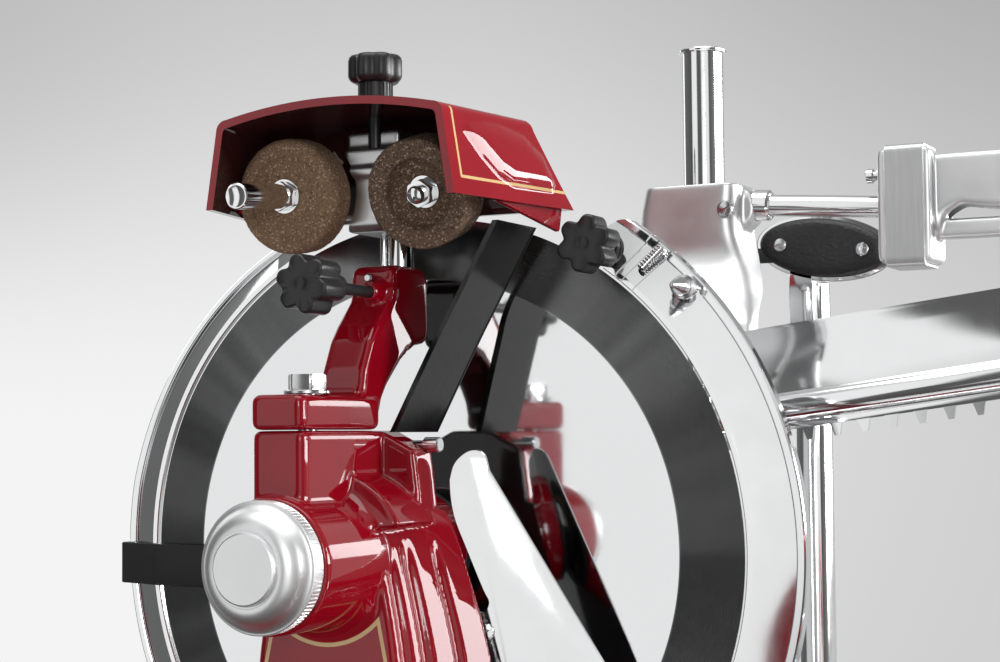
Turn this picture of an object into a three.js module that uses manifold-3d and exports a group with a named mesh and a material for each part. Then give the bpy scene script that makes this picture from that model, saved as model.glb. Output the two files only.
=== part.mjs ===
// Hand cranked flywheel meat slicer, in millimetres, Z up.
// X runs along the knife's plane, Y from the operator through the knife to the meat.
// Every place is measured from the knife's centre until the whole machine is set on its feet.
import * as THREE from 'three';
import { mergeVertices } from 'three/addons/utils/BufferGeometryUtils.js';
import Module from 'manifold-3d';

const wasm = await Module();
wasm.setup();

// Driving dimensions

const fit = { running: 0.3, seat: 0.3, overrun: 6, weld: 0.5 };
const facets = { disc: 32, barrel: 16, round: 10, small: 6, corner: 2, bevel: 1, lobe: 4, arcStep: 12 };

const finish = {
  redEnamel: { color: '#8f0a1c', roughness: 0.15, metalness: 0.1 },
  polishedSteel: { color: '#d9dadb', roughness: 0.08, metalness: 1 },
  brushedSteel: { color: '#a9abad', roughness: 0.35, metalness: 1 },
  knifeSteel: { color: '#c9cbcd', roughness: 0.1, metalness: 1 },
  castAluminium: { color: '#a5a7a9', roughness: 0.45, metalness: 0.9 },
  satinCap: { color: '#cfd0d1', roughness: 0.3, metalness: 1 },
  blackPlastic: { color: '#1b1c1d', roughness: 0.45, metalness: 0 },
  blackStrap: { color: '#242526', roughness: 0.5, metalness: 0.2 },
  stone: { color: '#7b5a45', roughness: 0.95, metalness: 0 },
  machined: { color: '#8d9094', roughness: 0.4, metalness: 1 },
  bronze: { color: '#a5793d', roughness: 0.4, metalness: 1 },
  rubber: { color: '#161616', roughness: 0.85, metalness: 0 },
};

const knife = {
  radius: 150, edge: 0.25, bevelWidth: 27.7, faceY: -4, backY: 3, backBevel: 34, boreRadius: 12.8,
  get bevelRadius() { return this.radius - this.bevelWidth; },
  get backRadius() { return this.radius - this.backBevel; },
};
const knifeShaft = {
  radius: 10, neckRadius: 7, frontRadius: 8, noseRadius: 12.5, flangeRadius: 19,
  frontY: -128, neckY: -46, flangeY: -12, noseY: 2,
};
const bearing = { radius: 19.7, width: 12, frontY: -127, rearY: -32 };

const gears = {
  spurModule: 3, wheelTeeth: 36, pinionTeeth: 12, faceWidth: 12, wheelY: -20,
  bevelModule: 2.6, bevelTeeth: 12, bevelBack: 8, hubRadius: 9,
  shaftRadius: 7, passageRadius: 18.6, crossDrop: 30, columnY: -69,
  get crossZ() { return base.top - this.crossDrop; },
};

const column = {
  top: 20, waistFront: -92, waistRear: -47.5, footFront: -114, footRear: -20,
  waistHalfRear: 29, footHalfRear: 80, waistHalfFront: 23, footHalfFront: 66, corner: 9,
  // rows of height, rear width, front width, front depth and rear depth, from the foot to the waist
  flareShares: [
    [0, 1, 1, 1, 1], [0.05, 1, 1, 1, 1], [0.09, 0.8, 0.72, 0.6, 0.5], [0.28, 0.66, 0.44, 0.25, 0.1],
    [0.5, 0.54, 0.29, 0.06, 0], [0.72, 0.41, 0.21, 0, 0],
    [0.93, 0.14, 0.07, 0, 0], [1, 0, 0, 0, 0],
  ],
  barrelRadius: 27.5, barrelFront: -135, barrelRear: -16,
  saddleRadius: 37, saddleFront: -91, saddleRear: -60, saddleBlend: 9,
  blockHalf: 12.4, blockFront: -128.5, blockTop: 53.5, blockRear: -50, blockCorner: 4,
  shoulderFront: -57, shoulderHalf: 27, shoulderTop: 45, shoulderFlat: 10.5, shoulderFoot: 30,
  fluteRadius: 5, fluteRise: 2.2, fluteShares: [0.2, 0.5, 0.8], fluteTopShare: 0.93,
  cavityLow: -150, cavityHigh: -40,
  get bottom() { return base.top + fit.seat; },
};

const hubCap = {
  discRadius: 14.2, discY: -152.7, stepRadius: 15.2, stepY: -150.4, domeRadius: 24.2, domeY: -143.4,
  crestRadius: 19.6, crestY: -149.4, rimRadius: 26.4, rimY: -142.4, backY: -135.3, spigotRadius: 18.6,
  spigotY: -130,
};

const base = {
  left: -180, right: 540, front: -125, back: 265, height: 135, guardGap: 10.4,
  wall: 8, corner: 42, waist: 18, bossRadius: 24, bossInset: 36,
  // rows of height and how far the wall is drawn in
  sectionShares: [[0, 0], [0.08, 0], [0.2, 0.55], [0.45, 1], [0.85, 0.9], [1, 0.65]],
  webWidth: 44, webThickness: 14, webDrop: 48, webInset: 70, layWebY: 2,
  earThickness: 16, earHalf: 18,
  get top() { return -(guard.radius + this.guardGap); },
  get bottom() { return this.top - this.height; },
};
const foot = { radius: 23, padRadius: 20, height: 25, waistRadius: 17 };

const guard = {
  gap: 1.6, flatWidth: 1.8, slopeWidth: 18.6, rimWidth: 2.6, backStep: 2.2,
  frontY: -1.5, innerBack: 1.5, channelY: 9, lipY: 6.5, backY: 14,
  startClock: 39.6, endClock: 333, taperStart: 280, taperShare: 0.62,
  plateStart: 31, plateEnd: 37.4, plateCorner: 11, tongueInset: 5, tongueRecess: 1,
  tongueAngle: 3,
  get innerRadius() { return knife.radius + this.gap; },
  get flatRadius() { return this.innerRadius + this.flatWidth; },
  get channelRadius() { return this.flatRadius + this.slopeWidth; },
  get radius() { return this.channelRadius + this.rimWidth; },
  get backRadius() { return this.radius - this.backStep; },
};
const guardArm = {
  top: 0, bottom: -20, y: -15.7, thickness: 3, hookGap: 0.4, hookBack: 14, ringRadius: 27.3,
  ringHole: 20.6,
  get outer() { return -(guard.radius + this.hookGap + this.thickness); },
};
const guardStay = { half: 18, thickness: 4, depth: 30, footThickness: 6, rise: 27 };
// Places on the guard ring are a clock angle and a distance out from the knife's edge.
const onGuard = {
  get x() { return (knife.radius + this.outward) * Math.sin(THREE.MathUtils.degToRad(this.clock)); },
  get z() { return (knife.radius + this.outward) * Math.cos(THREE.MathUtils.degToRad(this.clock)); },
};
const guardKnob = {
  clock: 34.5808, outward: 10.328, faceY: -32, headBack: -18, bossBack: -10, collarBack: -2.5, radius: 12.5, lobeDepth: 1.9,
  lobes: 6, bossRadius: 6.2, collarRadius: 7, studRadius: 3.5, studBack: 13, __proto__: onGuard,
};
const guardPin = {
  clock: 47.4056, outward: 18.440, radius: 4.5, tipRadius: 2, frontY: -9, shoulderY: -5.5, grooveY: 0.5, grooveRadius: 3.7,
  backY: 8.4, __proto__: onGuard,
};

const deflector = {
  left: 33, right: 126, bottom: -75, top: 45, y: -45.7, thickness: 1.6,
  outlineShares: [
    [0, 0.892], [0.012, 0.95], [0.054, 0.9875], [0.108, 1], [0.161, 0.983], [0.199, 0.925],
    [0.763, 0.275], [1, 0], [0.355, 0], [0.183, 0.125], [0.098, 0.25], [0.078, 0.325],
    [0.097, 0.4], [0.14, 0.425], [0.183, 0.428], [0.203, 0.461], [0.173, 0.506], [0.0925, 0.645],
    [0.027, 0.767],
  ],
  screwX: 51.3, screwZ: -32.3, screwRadius: 3.4, screwHead: 1.4,
};
const deflectorArm = {
  footX: 13, footZ: 52.7, tipX: 62.5, tipDrop: 7.7, thickness: 2.4, front: -58, back: -26,
  get tipZ() { return knife.radius - this.tipDrop; },
};
const deflectorPin = { radius: 3.3, left: 26, right: 33, y: -52, z: 47.2, shankRadius: 2, shankX: 12 };

const bracket = {
  front: -129.5, back: -19.6, edgeDrop: 24.5, half: 10.7, footHalf: 12.4, footHeight: 14.2,
  footBack: -66, round: 2.6,
  get bottom() { return column.blockTop + fit.seat; },
  get footTop() { return this.bottom + this.footHeight; },
  get top() { return knife.radius - this.edgeDrop; },
  // across from front to back, and up, round the arm's side
  armShares: [
    [0.3, 0.02], [0.3, 0.14], [0.44, 0.2], [0.464, 0.25], [0.474, 0.35], [0.532, 0.53], [0.585, 0.63],
    [0.648, 0.725], [0.696, 0.8], [0.696, 1], [1, 1], [1, 0.59], [0.975, 0.53], [0.88, 0.51],
    [0.81, 0.48], [0.74, 0.37], [0.66, 0.26], [0.615, 0.17], [0.6, 0.08], [0.54, 0.02],
  ],
};
const bracketBolt = {
  x: 3, y: -110, headRadius: 8.3, headHeight: 6.4, washerRadius: 9.6, washerHeight: 1.6, shankRadius: 4,
  shankBottom: 36,
};
const bracketKnob = {
  x: 3.5, drop: 12.5, pinRadius: 2.5, pinBack: -48, headBack: -100, headFront: -116, bossBack: -88,
  bossRadius: 6, radius: 12.5, lobeDepth: 1.9, lobes: 6,
  get z() { return bracket.top - this.drop; },
};
// Rods start below the bracket's top and end above the knife's edge.
const rodEnds = {
  get bottom() { return bracket.top - this.depth; },
  get top() { return knife.radius + this.reach; },
};
const guideRod = { x: 2.9, y: -31, radius: 5.8, depth: 31.5, reach: 9, __proto__: rodEnds };
const stopRod = { x: -5.4, y: -32, radius: 1.7, depth: 13.5, reach: 7, __proto__: rodEnds };

const hood = {
  front: -90, back: -8, edgeDrop: 1, sideHeight: 38.5, crownHeight: 44, frontHalfBottom: 60.5, frontHalfTop: 54.5,
  backHalfBottom: 76.5, backHalfTop: 66.5, wall: 3.4, corner: 5, backTopY: -30, crownSteps: 6,
  get bottom() { return knife.radius - this.edgeDrop; },
  get side() { return this.bottom + this.sideHeight; },
  get crown() { return this.bottom + this.crownHeight; },
};
const sharpenerBody = {
  half: 13, front: -54, back: -22, hang: 9, shoulderRise: 9, topBack: -37, topRise: 35, armHeight: 15,
  armThickness: 10, armGap: 4, drop: 3, bossRadius: 9, bossGap: 3, bossLength: 17,
  get bottom() { return hood.bottom - this.hang; },
  get shoulder() { return hood.bottom + this.shoulderRise; },
  get top() { return hood.bottom + this.topRise; },
};
const sharpenerKnob = {
  x: 1, y: -50, stemRadius: 7.2, stemLength: 12, headHeight: 12.5, radius: 12, lobeDepth: 1.1, lobes: 7,
  screwRadius: 3, screwRise: 23, chamfer: 1.2,
  get stemTop() { return hood.crown + this.stemLength; },
  get headTop() { return this.stemTop + this.headHeight; },
  get screwBottom() { return hood.bottom + this.screwRise; },
};
const leftStone = {
  x: -33, y: -70, edgeRise: 5.5, radius: 25, thickness: 14, chamfer: 3, tilt: 6, push: 12,
  get z() { return knife.radius + this.edgeRise; },
};
const leftSpindle = { radius: 5.5, front: -38, back: 34, nutRadius: 8.8, nutHeight: 5, washerRadius: 8.4 };
const rightStone = {
  x: 26.5, y: -60, edgeRise: 3.5, radius: 24, thickness: 18, rimRadius: 15.5, recess: 8,
  tilt: 17, chamfer: 1.5, push: 0,
  get z() { return knife.radius + this.edgeRise; },
};
const rightSpindle = { radius: 4, front: -3, back: 34, nutRadius: 7.2, nutHeight: 6 };

const flywheel = {
  x: 465, rise: 42, radius: 180, rimWidth: 24, front: -168, back: -142, rimRound: 5, hubRadius: 30,
  hubFront: -173, hubBack: -137, spokes: 5, spokeWidth: 20, spokeDepth: 14, spokeBend: 34, boreRadius: 11.3,
  spokeSteps: 4,
  get z() { return base.top + this.rise; },
  get rimInner() { return this.radius - this.rimWidth; },
};
const flywheelShaft = {
  radius: 11, front: -180, back: 8, washerRadius: 24, washer: 3, nutRadius: 17, nutFront: -184,
  capRadius: 14, crown: -192,
};
const crank = {
  clock: 35, pinRadius: 5, pinBack: -143, headRadius: 8.5, headHeight: 5,
  headFront: -277, gripFront: -271.5, gripBack: -171, gripRadius: 15.5, gripWaist: 12.5, gripEnd: 10.5,
  get radius() { return flywheel.radius - flywheel.rimWidth / 2; },
};
const pedestal = {
  drumRadius: 66, drumFront: -30, drumBack: 3, drumRound: 6, barrelRadius: 28, barrelFront: -132,
  footHalf: 60, footFront: -104, footBack: 24, footHeight: 12, neckHalf: 46, corner: 12,
  bushRadius: 15, bushLength: 30, cavityFront: -25, cavityBack: -3, cavityRadius: 58.5,
};
const tray = {
  left: 86, right: 276, front: -122, back: -24, rise: 13, thickness: 1.6, rim: 9, corner: 16, lip: 3,
  ribWidth: 10, ribInset: 30,
  get z() { return base.top + this.rise; },
};

const rail = {
  radius: 10, rise: 19, frontY: 78, backY: 232, left: -160, right: 520,
  get z() { return base.top + this.rise; },
};
const carriage = {
  left: 70, right: 390, front: 50, back: 262, railGap: 19, thickness: 12, corner: 14,
  bushLength: 60, bushHalf: 16, screwBlock: 10, slotHalf: 13, slotFront: 75, slotBack: 250, guideHalf: 9, guideX: 70,
  get bore() { return rail.radius + fit.running; },
  get deck() { return rail.z + this.railGap; },
  get top() { return this.deck + this.thickness; },
};
const table = {
  left: 55, right: 395, front: 42, back: 300, gap: 5, thickness: 10, corner: 26, fence: 30,
  fenceThickness: 6, ribHeight: 4.4, nutHalf: 11, nutDrop: 5, nutY: 96, nutLength: 24, round: 2.5,
  get bottom() { return carriage.top + this.gap; },
  get top() { return this.bottom + this.thickness; },
};
const feed = {
  x: 230, drop: 2, radius: 6, front: 52, wheelRadius: 18, wheelFront: 264, wheelBack: 276,
  wheelHub: 9, wheelHole: 2.6, wheelHoleRing: 12,
  get z() { return carriage.deck - this.drop; },
};
const dial = {
  y: 150, rise: 6, radius: 22, thickness: 9, knobRadius: 11, knobLength: 15, gripRadius: 9.4,
  get z() { return rail.z + this.rise; },
};

const frontPost = {
  x: 95, y: 106, radius: 10, top: 236, capRadius: 11.7, capHeight: 2.2, crown: 2.6, collarRadius: 17,
  collarHeight: 8,
};
const rearPost = { x: 112, y: 221, radius: 10, top: 131, collarRadius: 17, collarHeight: 8 };
const clampBracket = {
  top: 170, bottom: 78,
  // rows of height, centre across, centre along, half width and half depth, all from the front post
  sections: [
    [170, -1.5, 0, 23.5, 19], [150, -3.5, 0, 24.5, 18.5], [134, 3, -3, 22, 17], [118, 17, -16, 14.5, 14],
    [101, 31, -38, 7, 8], [78, 33, -41, 6, 6.5],
  ],
  corner: 8, sleeveRadius: 15.5, sleeveBottom: 128, knuckleRadius: 11, knuckleX: 25, knuckleHalf: 8,
  knuckleZ: 158.5,
};
const clampBar = { startX: 120, z: 160.4, slope: -4.2, radius: 5.15, length: 84, neckRadius: 7.4, neck: 9 };
const clampBlock = {
  left: 184, right: 209, front: 92, back: 120, bottom: 128, top: 181, corner: 4, armRight: 345,
  armFront: 98, armBack: 114, armTop: 179, armBottom: 150, barTop: 148, barBottom: 139,
  barFront: 100, barBack: 112, fillet: 20, filletDepth: 9,
};
const clampStrap = { left: 188, right: 206, thickness: 1.4, depth: 24, gap: 0.3 };
const plunger = { z: 170.5, radius: 3.4, left: 175.5, right: 183.7, waistRadius: 2.3, stemRadius: 1.5, stem: 6 };
const press = {
  x: 153, y: 45, z: 62, slope: 7.3, left: -34, right: 188, sheet: 2.2, beadRadius: 6.6, beadZ: 0,
  faceTop: 37, faceLean: 5, faceBow: 3, gussetX: -24, gussetWidth: 7,
};
const teeth = { pitch: 12.6, count: 17, height: 6, half: 2.4, tipHalf: 0.7, strip: 9, thickness: 1.5 };
const lever = {
  length: 74, height: 35, plate: 2.6, frontY: 203, centreX: 125, centreZ: 147.6, hubRadius: 15,
  hubBottom: 108, hubTop: 124, tiltShare: 0.1, gripLength: 69, gripHeight: 31, gripThickness: 5.5,
  stalkWidth: 13, tabLength: 12, tabHeight: 8,
};

// Solids

function toSolid(geometry) {
  const bare = geometry.clone();
  bare.deleteAttribute('normal');
  bare.deleteAttribute('uv');
  const merged = mergeVertices(bare, 1e-4);
  const index = merged.index.array;
  const place = merged.attributes.position;
  const kept = [];
  let volume = 0;
  const [a, b, c] = [new THREE.Vector3(), new THREE.Vector3(), new THREE.Vector3()];
  for (let i = 0; i < index.length; i += 3) {
    const [p, q, r] = [index[i], index[i + 1], index[i + 2]];
    if (p === q || q === r || r === p) continue;
    kept.push(p, q, r);
    a.fromBufferAttribute(place, p);
    b.fromBufferAttribute(place, q);
    c.fromBufferAttribute(place, r);
    volume += a.dot(b.cross(c));
  }
  if (volume < 0) kept.reverse();
  return new wasm.Manifold(new wasm.Mesh({
    numProp: 3,
    vertProperties: new Float32Array(place.array),
    triVerts: new Uint32Array(kept),
  }));
}

function toGeometry(solid) {
  const mesh = solid.getMesh();
  const geometry = new THREE.BufferGeometry();
  const places = new Float32Array(mesh.vertProperties);
  geometry.setAttribute('position', new THREE.BufferAttribute(places, 3));
  geometry.setIndex(new THREE.BufferAttribute(new Uint32Array(mesh.triVerts), 1));
  const flat = geometry.toNonIndexed();
  flat.computeVertexNormals();
  return flat;
}

const join = (first, ...others) => others.reduce((sum, next) => sum.add(next), first);
const cut = (body, ...tools) => tools.reduce((rest, tool) => rest.subtract(tool), body);

// Turns a form made along Z so that its length lies along another axis.
const turnTo = {
  x: new THREE.Matrix4().makeBasis(
    new THREE.Vector3(0, 1, 0), new THREE.Vector3(0, 0, 1), new THREE.Vector3(1, 0, 0)),
  y: new THREE.Matrix4().makeRotationX(Math.PI / 2),
  z: new THREE.Matrix4(),
};

function shapeOf(points) {
  return new THREE.Shape(points.map(([x, y]) => new THREE.Vector2(x, y)));
}

// Outline given in shares of a box.
function inBox(shares, left, right, bottom, top) {
  return shares.map(([across, up]) => [left + (right - left) * across, bottom + (top - bottom) * up]);
}

function roundedRect(left, right, bottom, top, radius) {
  const centres = [
    [right - radius, bottom + radius, -Math.PI / 2], [right - radius, top - radius, 0],
    [left + radius, top - radius, Math.PI / 2], [left + radius, bottom + radius, Math.PI],
  ];
  const points = [];
  for (const [x, y, start] of centres) {
    for (let i = 0; i <= facets.corner; i += 1) {
      const angle = start + (Math.PI / 2) * (i / facets.corner);
      points.push([x + radius * Math.cos(angle), y + radius * Math.sin(angle)]);
    }
  }
  return points;
}

// Extrudes an outline along an axis. The outline's own axes are Y, Z along X, and X, Z along Y.
function slab(points, from, to, axis, round = 0, holes = []) {
  const shape = shapeOf(points);
  holes.forEach((hole) => shape.holes.push(new THREE.Path(hole.map(([x, y]) => new THREE.Vector2(x, y)))));
  const geometry = new THREE.ExtrudeGeometry(shape, {
    depth: to - from - 2 * round,
    bevelEnabled: round > 0,
    bevelSize: round,
    bevelOffset: -round,
    bevelThickness: round,
    bevelSegments: facets.bevel,
  });
  geometry.translate(0, 0, round);
  geometry.applyMatrix4(turnTo[axis]);
  const start = { x: [from, 0, 0], y: [0, to, 0], z: [0, 0, from] }[axis];
  geometry.translate(...start);
  return toSolid(geometry);
}

const box = (left, right, front, back, bottom, top) =>
  slab([[left, front], [right, front], [right, back], [left, back]], bottom, top, 'z');

// Turns a profile of radius and place round an axis through the origin.
function turned(profile, axis, count = facets.round) {
  const geometry = new THREE.LatheGeometry(profile.map(([r, s]) => new THREE.Vector2(r, s)), count);
  geometry.rotateX(Math.PI / 2);
  if (axis === 'x') geometry.applyMatrix4(turnTo.x);
  if (axis === 'y') geometry.applyMatrix4(turnTo.y).scale(1, -1, 1);
  return toSolid(geometry);
}

const drum = (radius, from, to, axis, count = facets.round) =>
  turned([[0, from], [radius, from], [radius, to], [0, to]], axis, count);

// Bore whose flats clear a shaft that turns in it.
const runningRadius = (radius, count = facets.round) => (radius + fit.running) / Math.cos(Math.PI / count);

const runningBore = (radius, from, to, axis, count = facets.round) =>
  drum(runningRadius(radius, count), from, to, axis, count);

function shifted(solid, x, y, z) {
  return solid.translate([x, y, z]);
}

// Skins a stack of rings that all have the same number of points, and closes both ends.
function loft(rings) {
  const count = rings[0].length;
  const places = rings.flat().flatMap((p) => [p.x, p.y, p.z]);
  const index = [];
  for (let row = 0; row < rings.length - 1; row += 1) {
    for (let i = 0; i < count; i += 1) {
      const [a, b] = [row * count + i, row * count + ((i + 1) % count)];
      index.push(a, b, b + count, a, b + count, a + count);
    }
  }
  const last = (rings.length - 1) * count;
  for (const [ring, first, flip] of [[rings[0], 0, true], [rings.at(-1), last, false]]) {
    const centre = ring.reduce((sum, p) => sum.add(p), new THREE.Vector3()).divideScalar(count);
    const middle = places.length / 3;
    places.push(centre.x, centre.y, centre.z);
    for (let i = 0; i < count; i += 1) {
      const [a, b] = [first + i, first + ((i + 1) % count)];
      index.push(...(flip ? [b, a, middle] : [a, b, middle]));
    }
  }
  const geometry = new THREE.BufferGeometry();
  geometry.setAttribute('position', new THREE.Float32BufferAttribute(places, 3));
  geometry.setIndex(index);
  return toSolid(geometry);
}

const levelRing = (points, z) => points.map(([x, y]) => new THREE.Vector3(x, y, z));
const uprightRing = (points, y) => points.map(([x, z]) => new THREE.Vector3(x, y, z));

function circle(radius, count, x = 0, y = 0) {
  return Array.from({ length: count }, (_, i) => {
    const angle = (i / count) * 2 * Math.PI;
    return [x + radius * Math.cos(angle), y + radius * Math.sin(angle)];
  });
}

// Star knob outline: lobes with hollows between them.
function lobed(radius, depth, lobes) {
  const count = lobes * facets.lobe;
  return Array.from({ length: count }, (_, i) => {
    const angle = (i / count) * 2 * Math.PI;
    const r = radius - depth * (1 - Math.cos(angle * lobes));
    return [r * Math.cos(angle), r * Math.sin(angle)];
  });
}

function gearOutline(module, count) {
  const pitchRadius = (module * count) / 2;
  const [tip, root] = [pitchRadius + module * 0.85, pitchRadius - module * 1.15];
  const points = [];
  for (let i = 0; i < count; i += 1) {
    for (const [turn, radius] of [[-0.3, root], [-0.12, tip], [0.12, tip], [0.3, root]]) {
      const angle = ((i + turn) / count) * 2 * Math.PI;
      points.push([radius * Math.cos(angle), radius * Math.sin(angle)]);
    }
  }
  return points;
}

// Bevel gear for a pair of equal gears at right angles, made along Z with its apex at the origin.
function bevelGear(phaseShare) {
  const { bevelModule, bevelTeeth, bevelBack, hubRadius } = gears;
  const pitch = (bevelModule * bevelTeeth) / 2;
  const half = Math.SQRT1_2;
  const innerShare = 0.64;
  const toothRing = (scale) => {
    const points = [];
    for (let i = 0; i < bevelTeeth; i += 1) {
      for (const [turn, rise] of [[0, 0.6], [0.5, -1]]) {
        const angle = ((i + turn + phaseShare) / bevelTeeth) * 2 * Math.PI;
        const lift = rise * bevelModule * half;
        const [r, z] = [(pitch + lift) * scale, (lift - pitch) * scale];
        points.push(new THREE.Vector3(r * Math.cos(angle), r * Math.sin(angle), z));
      }
    }
    return points;
  };
  const outer = toothRing(1);
  const back = outer.map((p) => {
    const flat = new THREE.Vector2(p.x, p.y).setLength(hubRadius);
    return new THREE.Vector3(flat.x, flat.y, -pitch - bevelBack);
  });
  return loft([back, outer, toothRing(innerShare)]);
}

// Sets a bevel gear on its apex, facing away from the outward axis, with a chosen tooth towards its mate.
function bevelAt(apex, outward, toward, phaseShare) {
  const z = outward.clone().negate();
  const basis = new THREE.Matrix4().makeBasis(toward, new THREE.Vector3().crossVectors(z, toward), z);
  basis.setPosition(apex);
  return bevelGear(phaseShare).transform(basis.toArray());
}

// Sweeps a profile of radius and Y round the knife's axis, between two clock angles.
function arcSweep(profileAt, start, end, stepAngle) {
  const steps = Math.max(2, Math.round((end - start) / stepAngle));
  const rings = [];
  for (let i = 0; i <= steps; i += 1) {
    const clock = start + ((end - start) * i) / steps;
    const angle = THREE.MathUtils.degToRad(clock);
    rings.push(profileAt(clock).map(
      ([r, y]) => new THREE.Vector3(r * Math.sin(angle), y, r * Math.cos(angle))));
  }
  const count = rings[0].length;
  const places = rings.flat().flatMap((p) => [p.x, p.y, p.z]);
  const index = [];
  for (let row = 0; row < steps; row += 1) {
    for (let i = 0; i < count; i += 1) {
      const [a, b] = [row * count + i, row * count + ((i + 1) % count)];
      index.push(a, b + count, b, a, a + count, b + count);
    }
  }
  // Each end face runs the same way round as the profile, and the last one the other way.
  const endFace = (clock) => {
    const face = profileAt(clock).map(([r, y]) => new THREE.Vector2(r, y));
    const turn = Math.sign(THREE.ShapeUtils.area(face));
    return THREE.ShapeUtils.triangulateShape(face, []).map(([p, q, r]) => (
      Math.sign(THREE.ShapeUtils.area([face[p], face[q], face[r]])) === turn ? [p, q, r] : [p, r, q]));
  };
  const last = steps * count;
  for (const [p, q, r] of endFace(start)) index.push(p, q, r);
  for (const [p, q, r] of endFace(end)) index.push(last + r, last + q, last + p);
  const geometry = new THREE.BufferGeometry();
  geometry.setAttribute('position', new THREE.Float32BufferAttribute(places, 3));
  geometry.setIndex(index);
  return toSolid(geometry);
}

const machine = new THREE.Group();

function groupAt(x, y, z, parent = machine) {
  const group = new THREE.Group();
  group.position.set(x, y, z);
  parent.add(group);
  return group;
}

function part(name, solid, look, group = machine) {
  const mesh = new THREE.Mesh(toGeometry(solid), new THREE.MeshStandardMaterial(finish[look]));
  mesh.name = name;
  group.add(mesh);
  return mesh;
}

// Knife and its shaft

const pitchRadius = { wheel: (gears.spurModule * gears.wheelTeeth) / 2,
  pinion: (gears.spurModule * gears.pinionTeeth) / 2,
  bevel: (gears.bevelModule * gears.bevelTeeth) / 2 };
const unit = { x: new THREE.Vector3(1, 0, 0), y: new THREE.Vector3(0, 1, 0), z: new THREE.Vector3(0, 0, 1) };
const minus = (v) => v.clone().negate();
const apex = {
  knife: new THREE.Vector3(0, gears.columnY, 0),
  foot: new THREE.Vector3(0, gears.columnY, gears.crossZ),
  lay: new THREE.Vector3(flywheel.x, gears.columnY, gears.crossZ),
};
const toothPhase = 0;
const gapPhase = 0.5;
const bevelFront = pitchRadius.bevel * 0.6;

function makeKnife() {
  const { radius, edge, bevelRadius, faceY, backY, backRadius, boreRadius } = knife;
  part('knife', turned([
    [boreRadius, faceY], [bevelRadius, faceY], [radius, -edge], [radius, edge],
    [backRadius, backY], [boreRadius, backY], [boreRadius, faceY],
  ], 'y', facets.disc), 'knifeSteel');
}

function makeKnifeShaft() {
  const s = knifeShaft;
  const neckFront = gears.columnY - pitchRadius.bevel - gears.bevelBack;
  const shaft = turned([
    [0, s.frontY], [s.frontRadius, s.frontY], [s.frontRadius, neckFront], [s.neckRadius, neckFront],
    [s.neckRadius, s.neckY], [s.radius, s.neckY], [s.radius, s.flangeY], [s.flangeRadius, s.flangeY],
    [s.flangeRadius, knife.faceY - fit.seat], [s.noseRadius, knife.faceY - fit.seat],
    [s.noseRadius, s.noseY], [0, s.noseY],
  ], 'y');
  part('knife_shaft', join(shaft, bevelAt(apex.knife, minus(unit.y), minus(unit.z), gapPhase)), 'machined');
}

function makeBearings() {
  const ring = (inner, from) => turned([
    [inner, from], [bearing.radius, from], [bearing.radius, from + bearing.width],
    [inner, from + bearing.width], [inner, from],
  ], 'y');
  part('knife_bearing_front', ring(runningRadius(knifeShaft.frontRadius), bearing.frontY), 'bronze');
  part('knife_bearing_rear', ring(runningRadius(knifeShaft.radius), bearing.rearY), 'bronze');
}

// Red column that carries the knife

const columnRow = ([height, rear, front, frontDepth, rearDepth]) => ({
  z: column.bottom + (column.top - column.bottom) * height,
  halfRear: column.waistHalfRear + (column.footHalfRear - column.waistHalfRear) * rear,
  halfFront: column.waistHalfFront + (column.footHalfFront - column.waistHalfFront) * front,
  front: column.waistFront + (column.footFront - column.waistFront) * frontDepth,
  rear: column.waistRear + (column.footRear - column.waistRear) * rearDepth,
});

// Plan of the column with its front corners rounded.
function columnPlan(row) {
  const side = new THREE.Vector2(row.halfRear - row.halfFront, row.rear - row.front).normalize();
  const c = column.corner;
  const right = [
    [row.halfFront - c, row.front], [row.halfFront - c * 0.3, row.front + c * 0.12],
    [row.halfFront + side.x * c * 0.6, row.front + side.y * c * 0.6],
    [row.halfFront + side.x * c * 1.2, row.front + side.y * c * 1.2], [row.halfRear, row.rear],
  ];
  const left = right.map(([x, y]) => [-x, y]).reverse();
  return [...right, ...left];
}

function flute(side, share) {
  const rings = column.flareShares.slice(1).map(columnRow).map((row, i, rows) => {
    const height = i / (rows.length - 1);
    const x = row.halfFront + (row.halfRear - row.halfFront) * share;
    const y = row.front + (row.rear - row.front) * share;
    const out = new THREE.Vector2(row.rear - row.front, row.halfFront - row.halfRear).normalize();
    const radius = column.fluteRadius * (height > column.fluteTopShare ? 0.5 : 1);
    const away = radius - column.fluteRise * (height > column.fluteTopShare ? 0 : 1);
    return levelRing(
      circle(radius, facets.small, side * (x + out.x * away), y + out.y * away), row.z);
  });
  return loft(rings);
}

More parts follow.
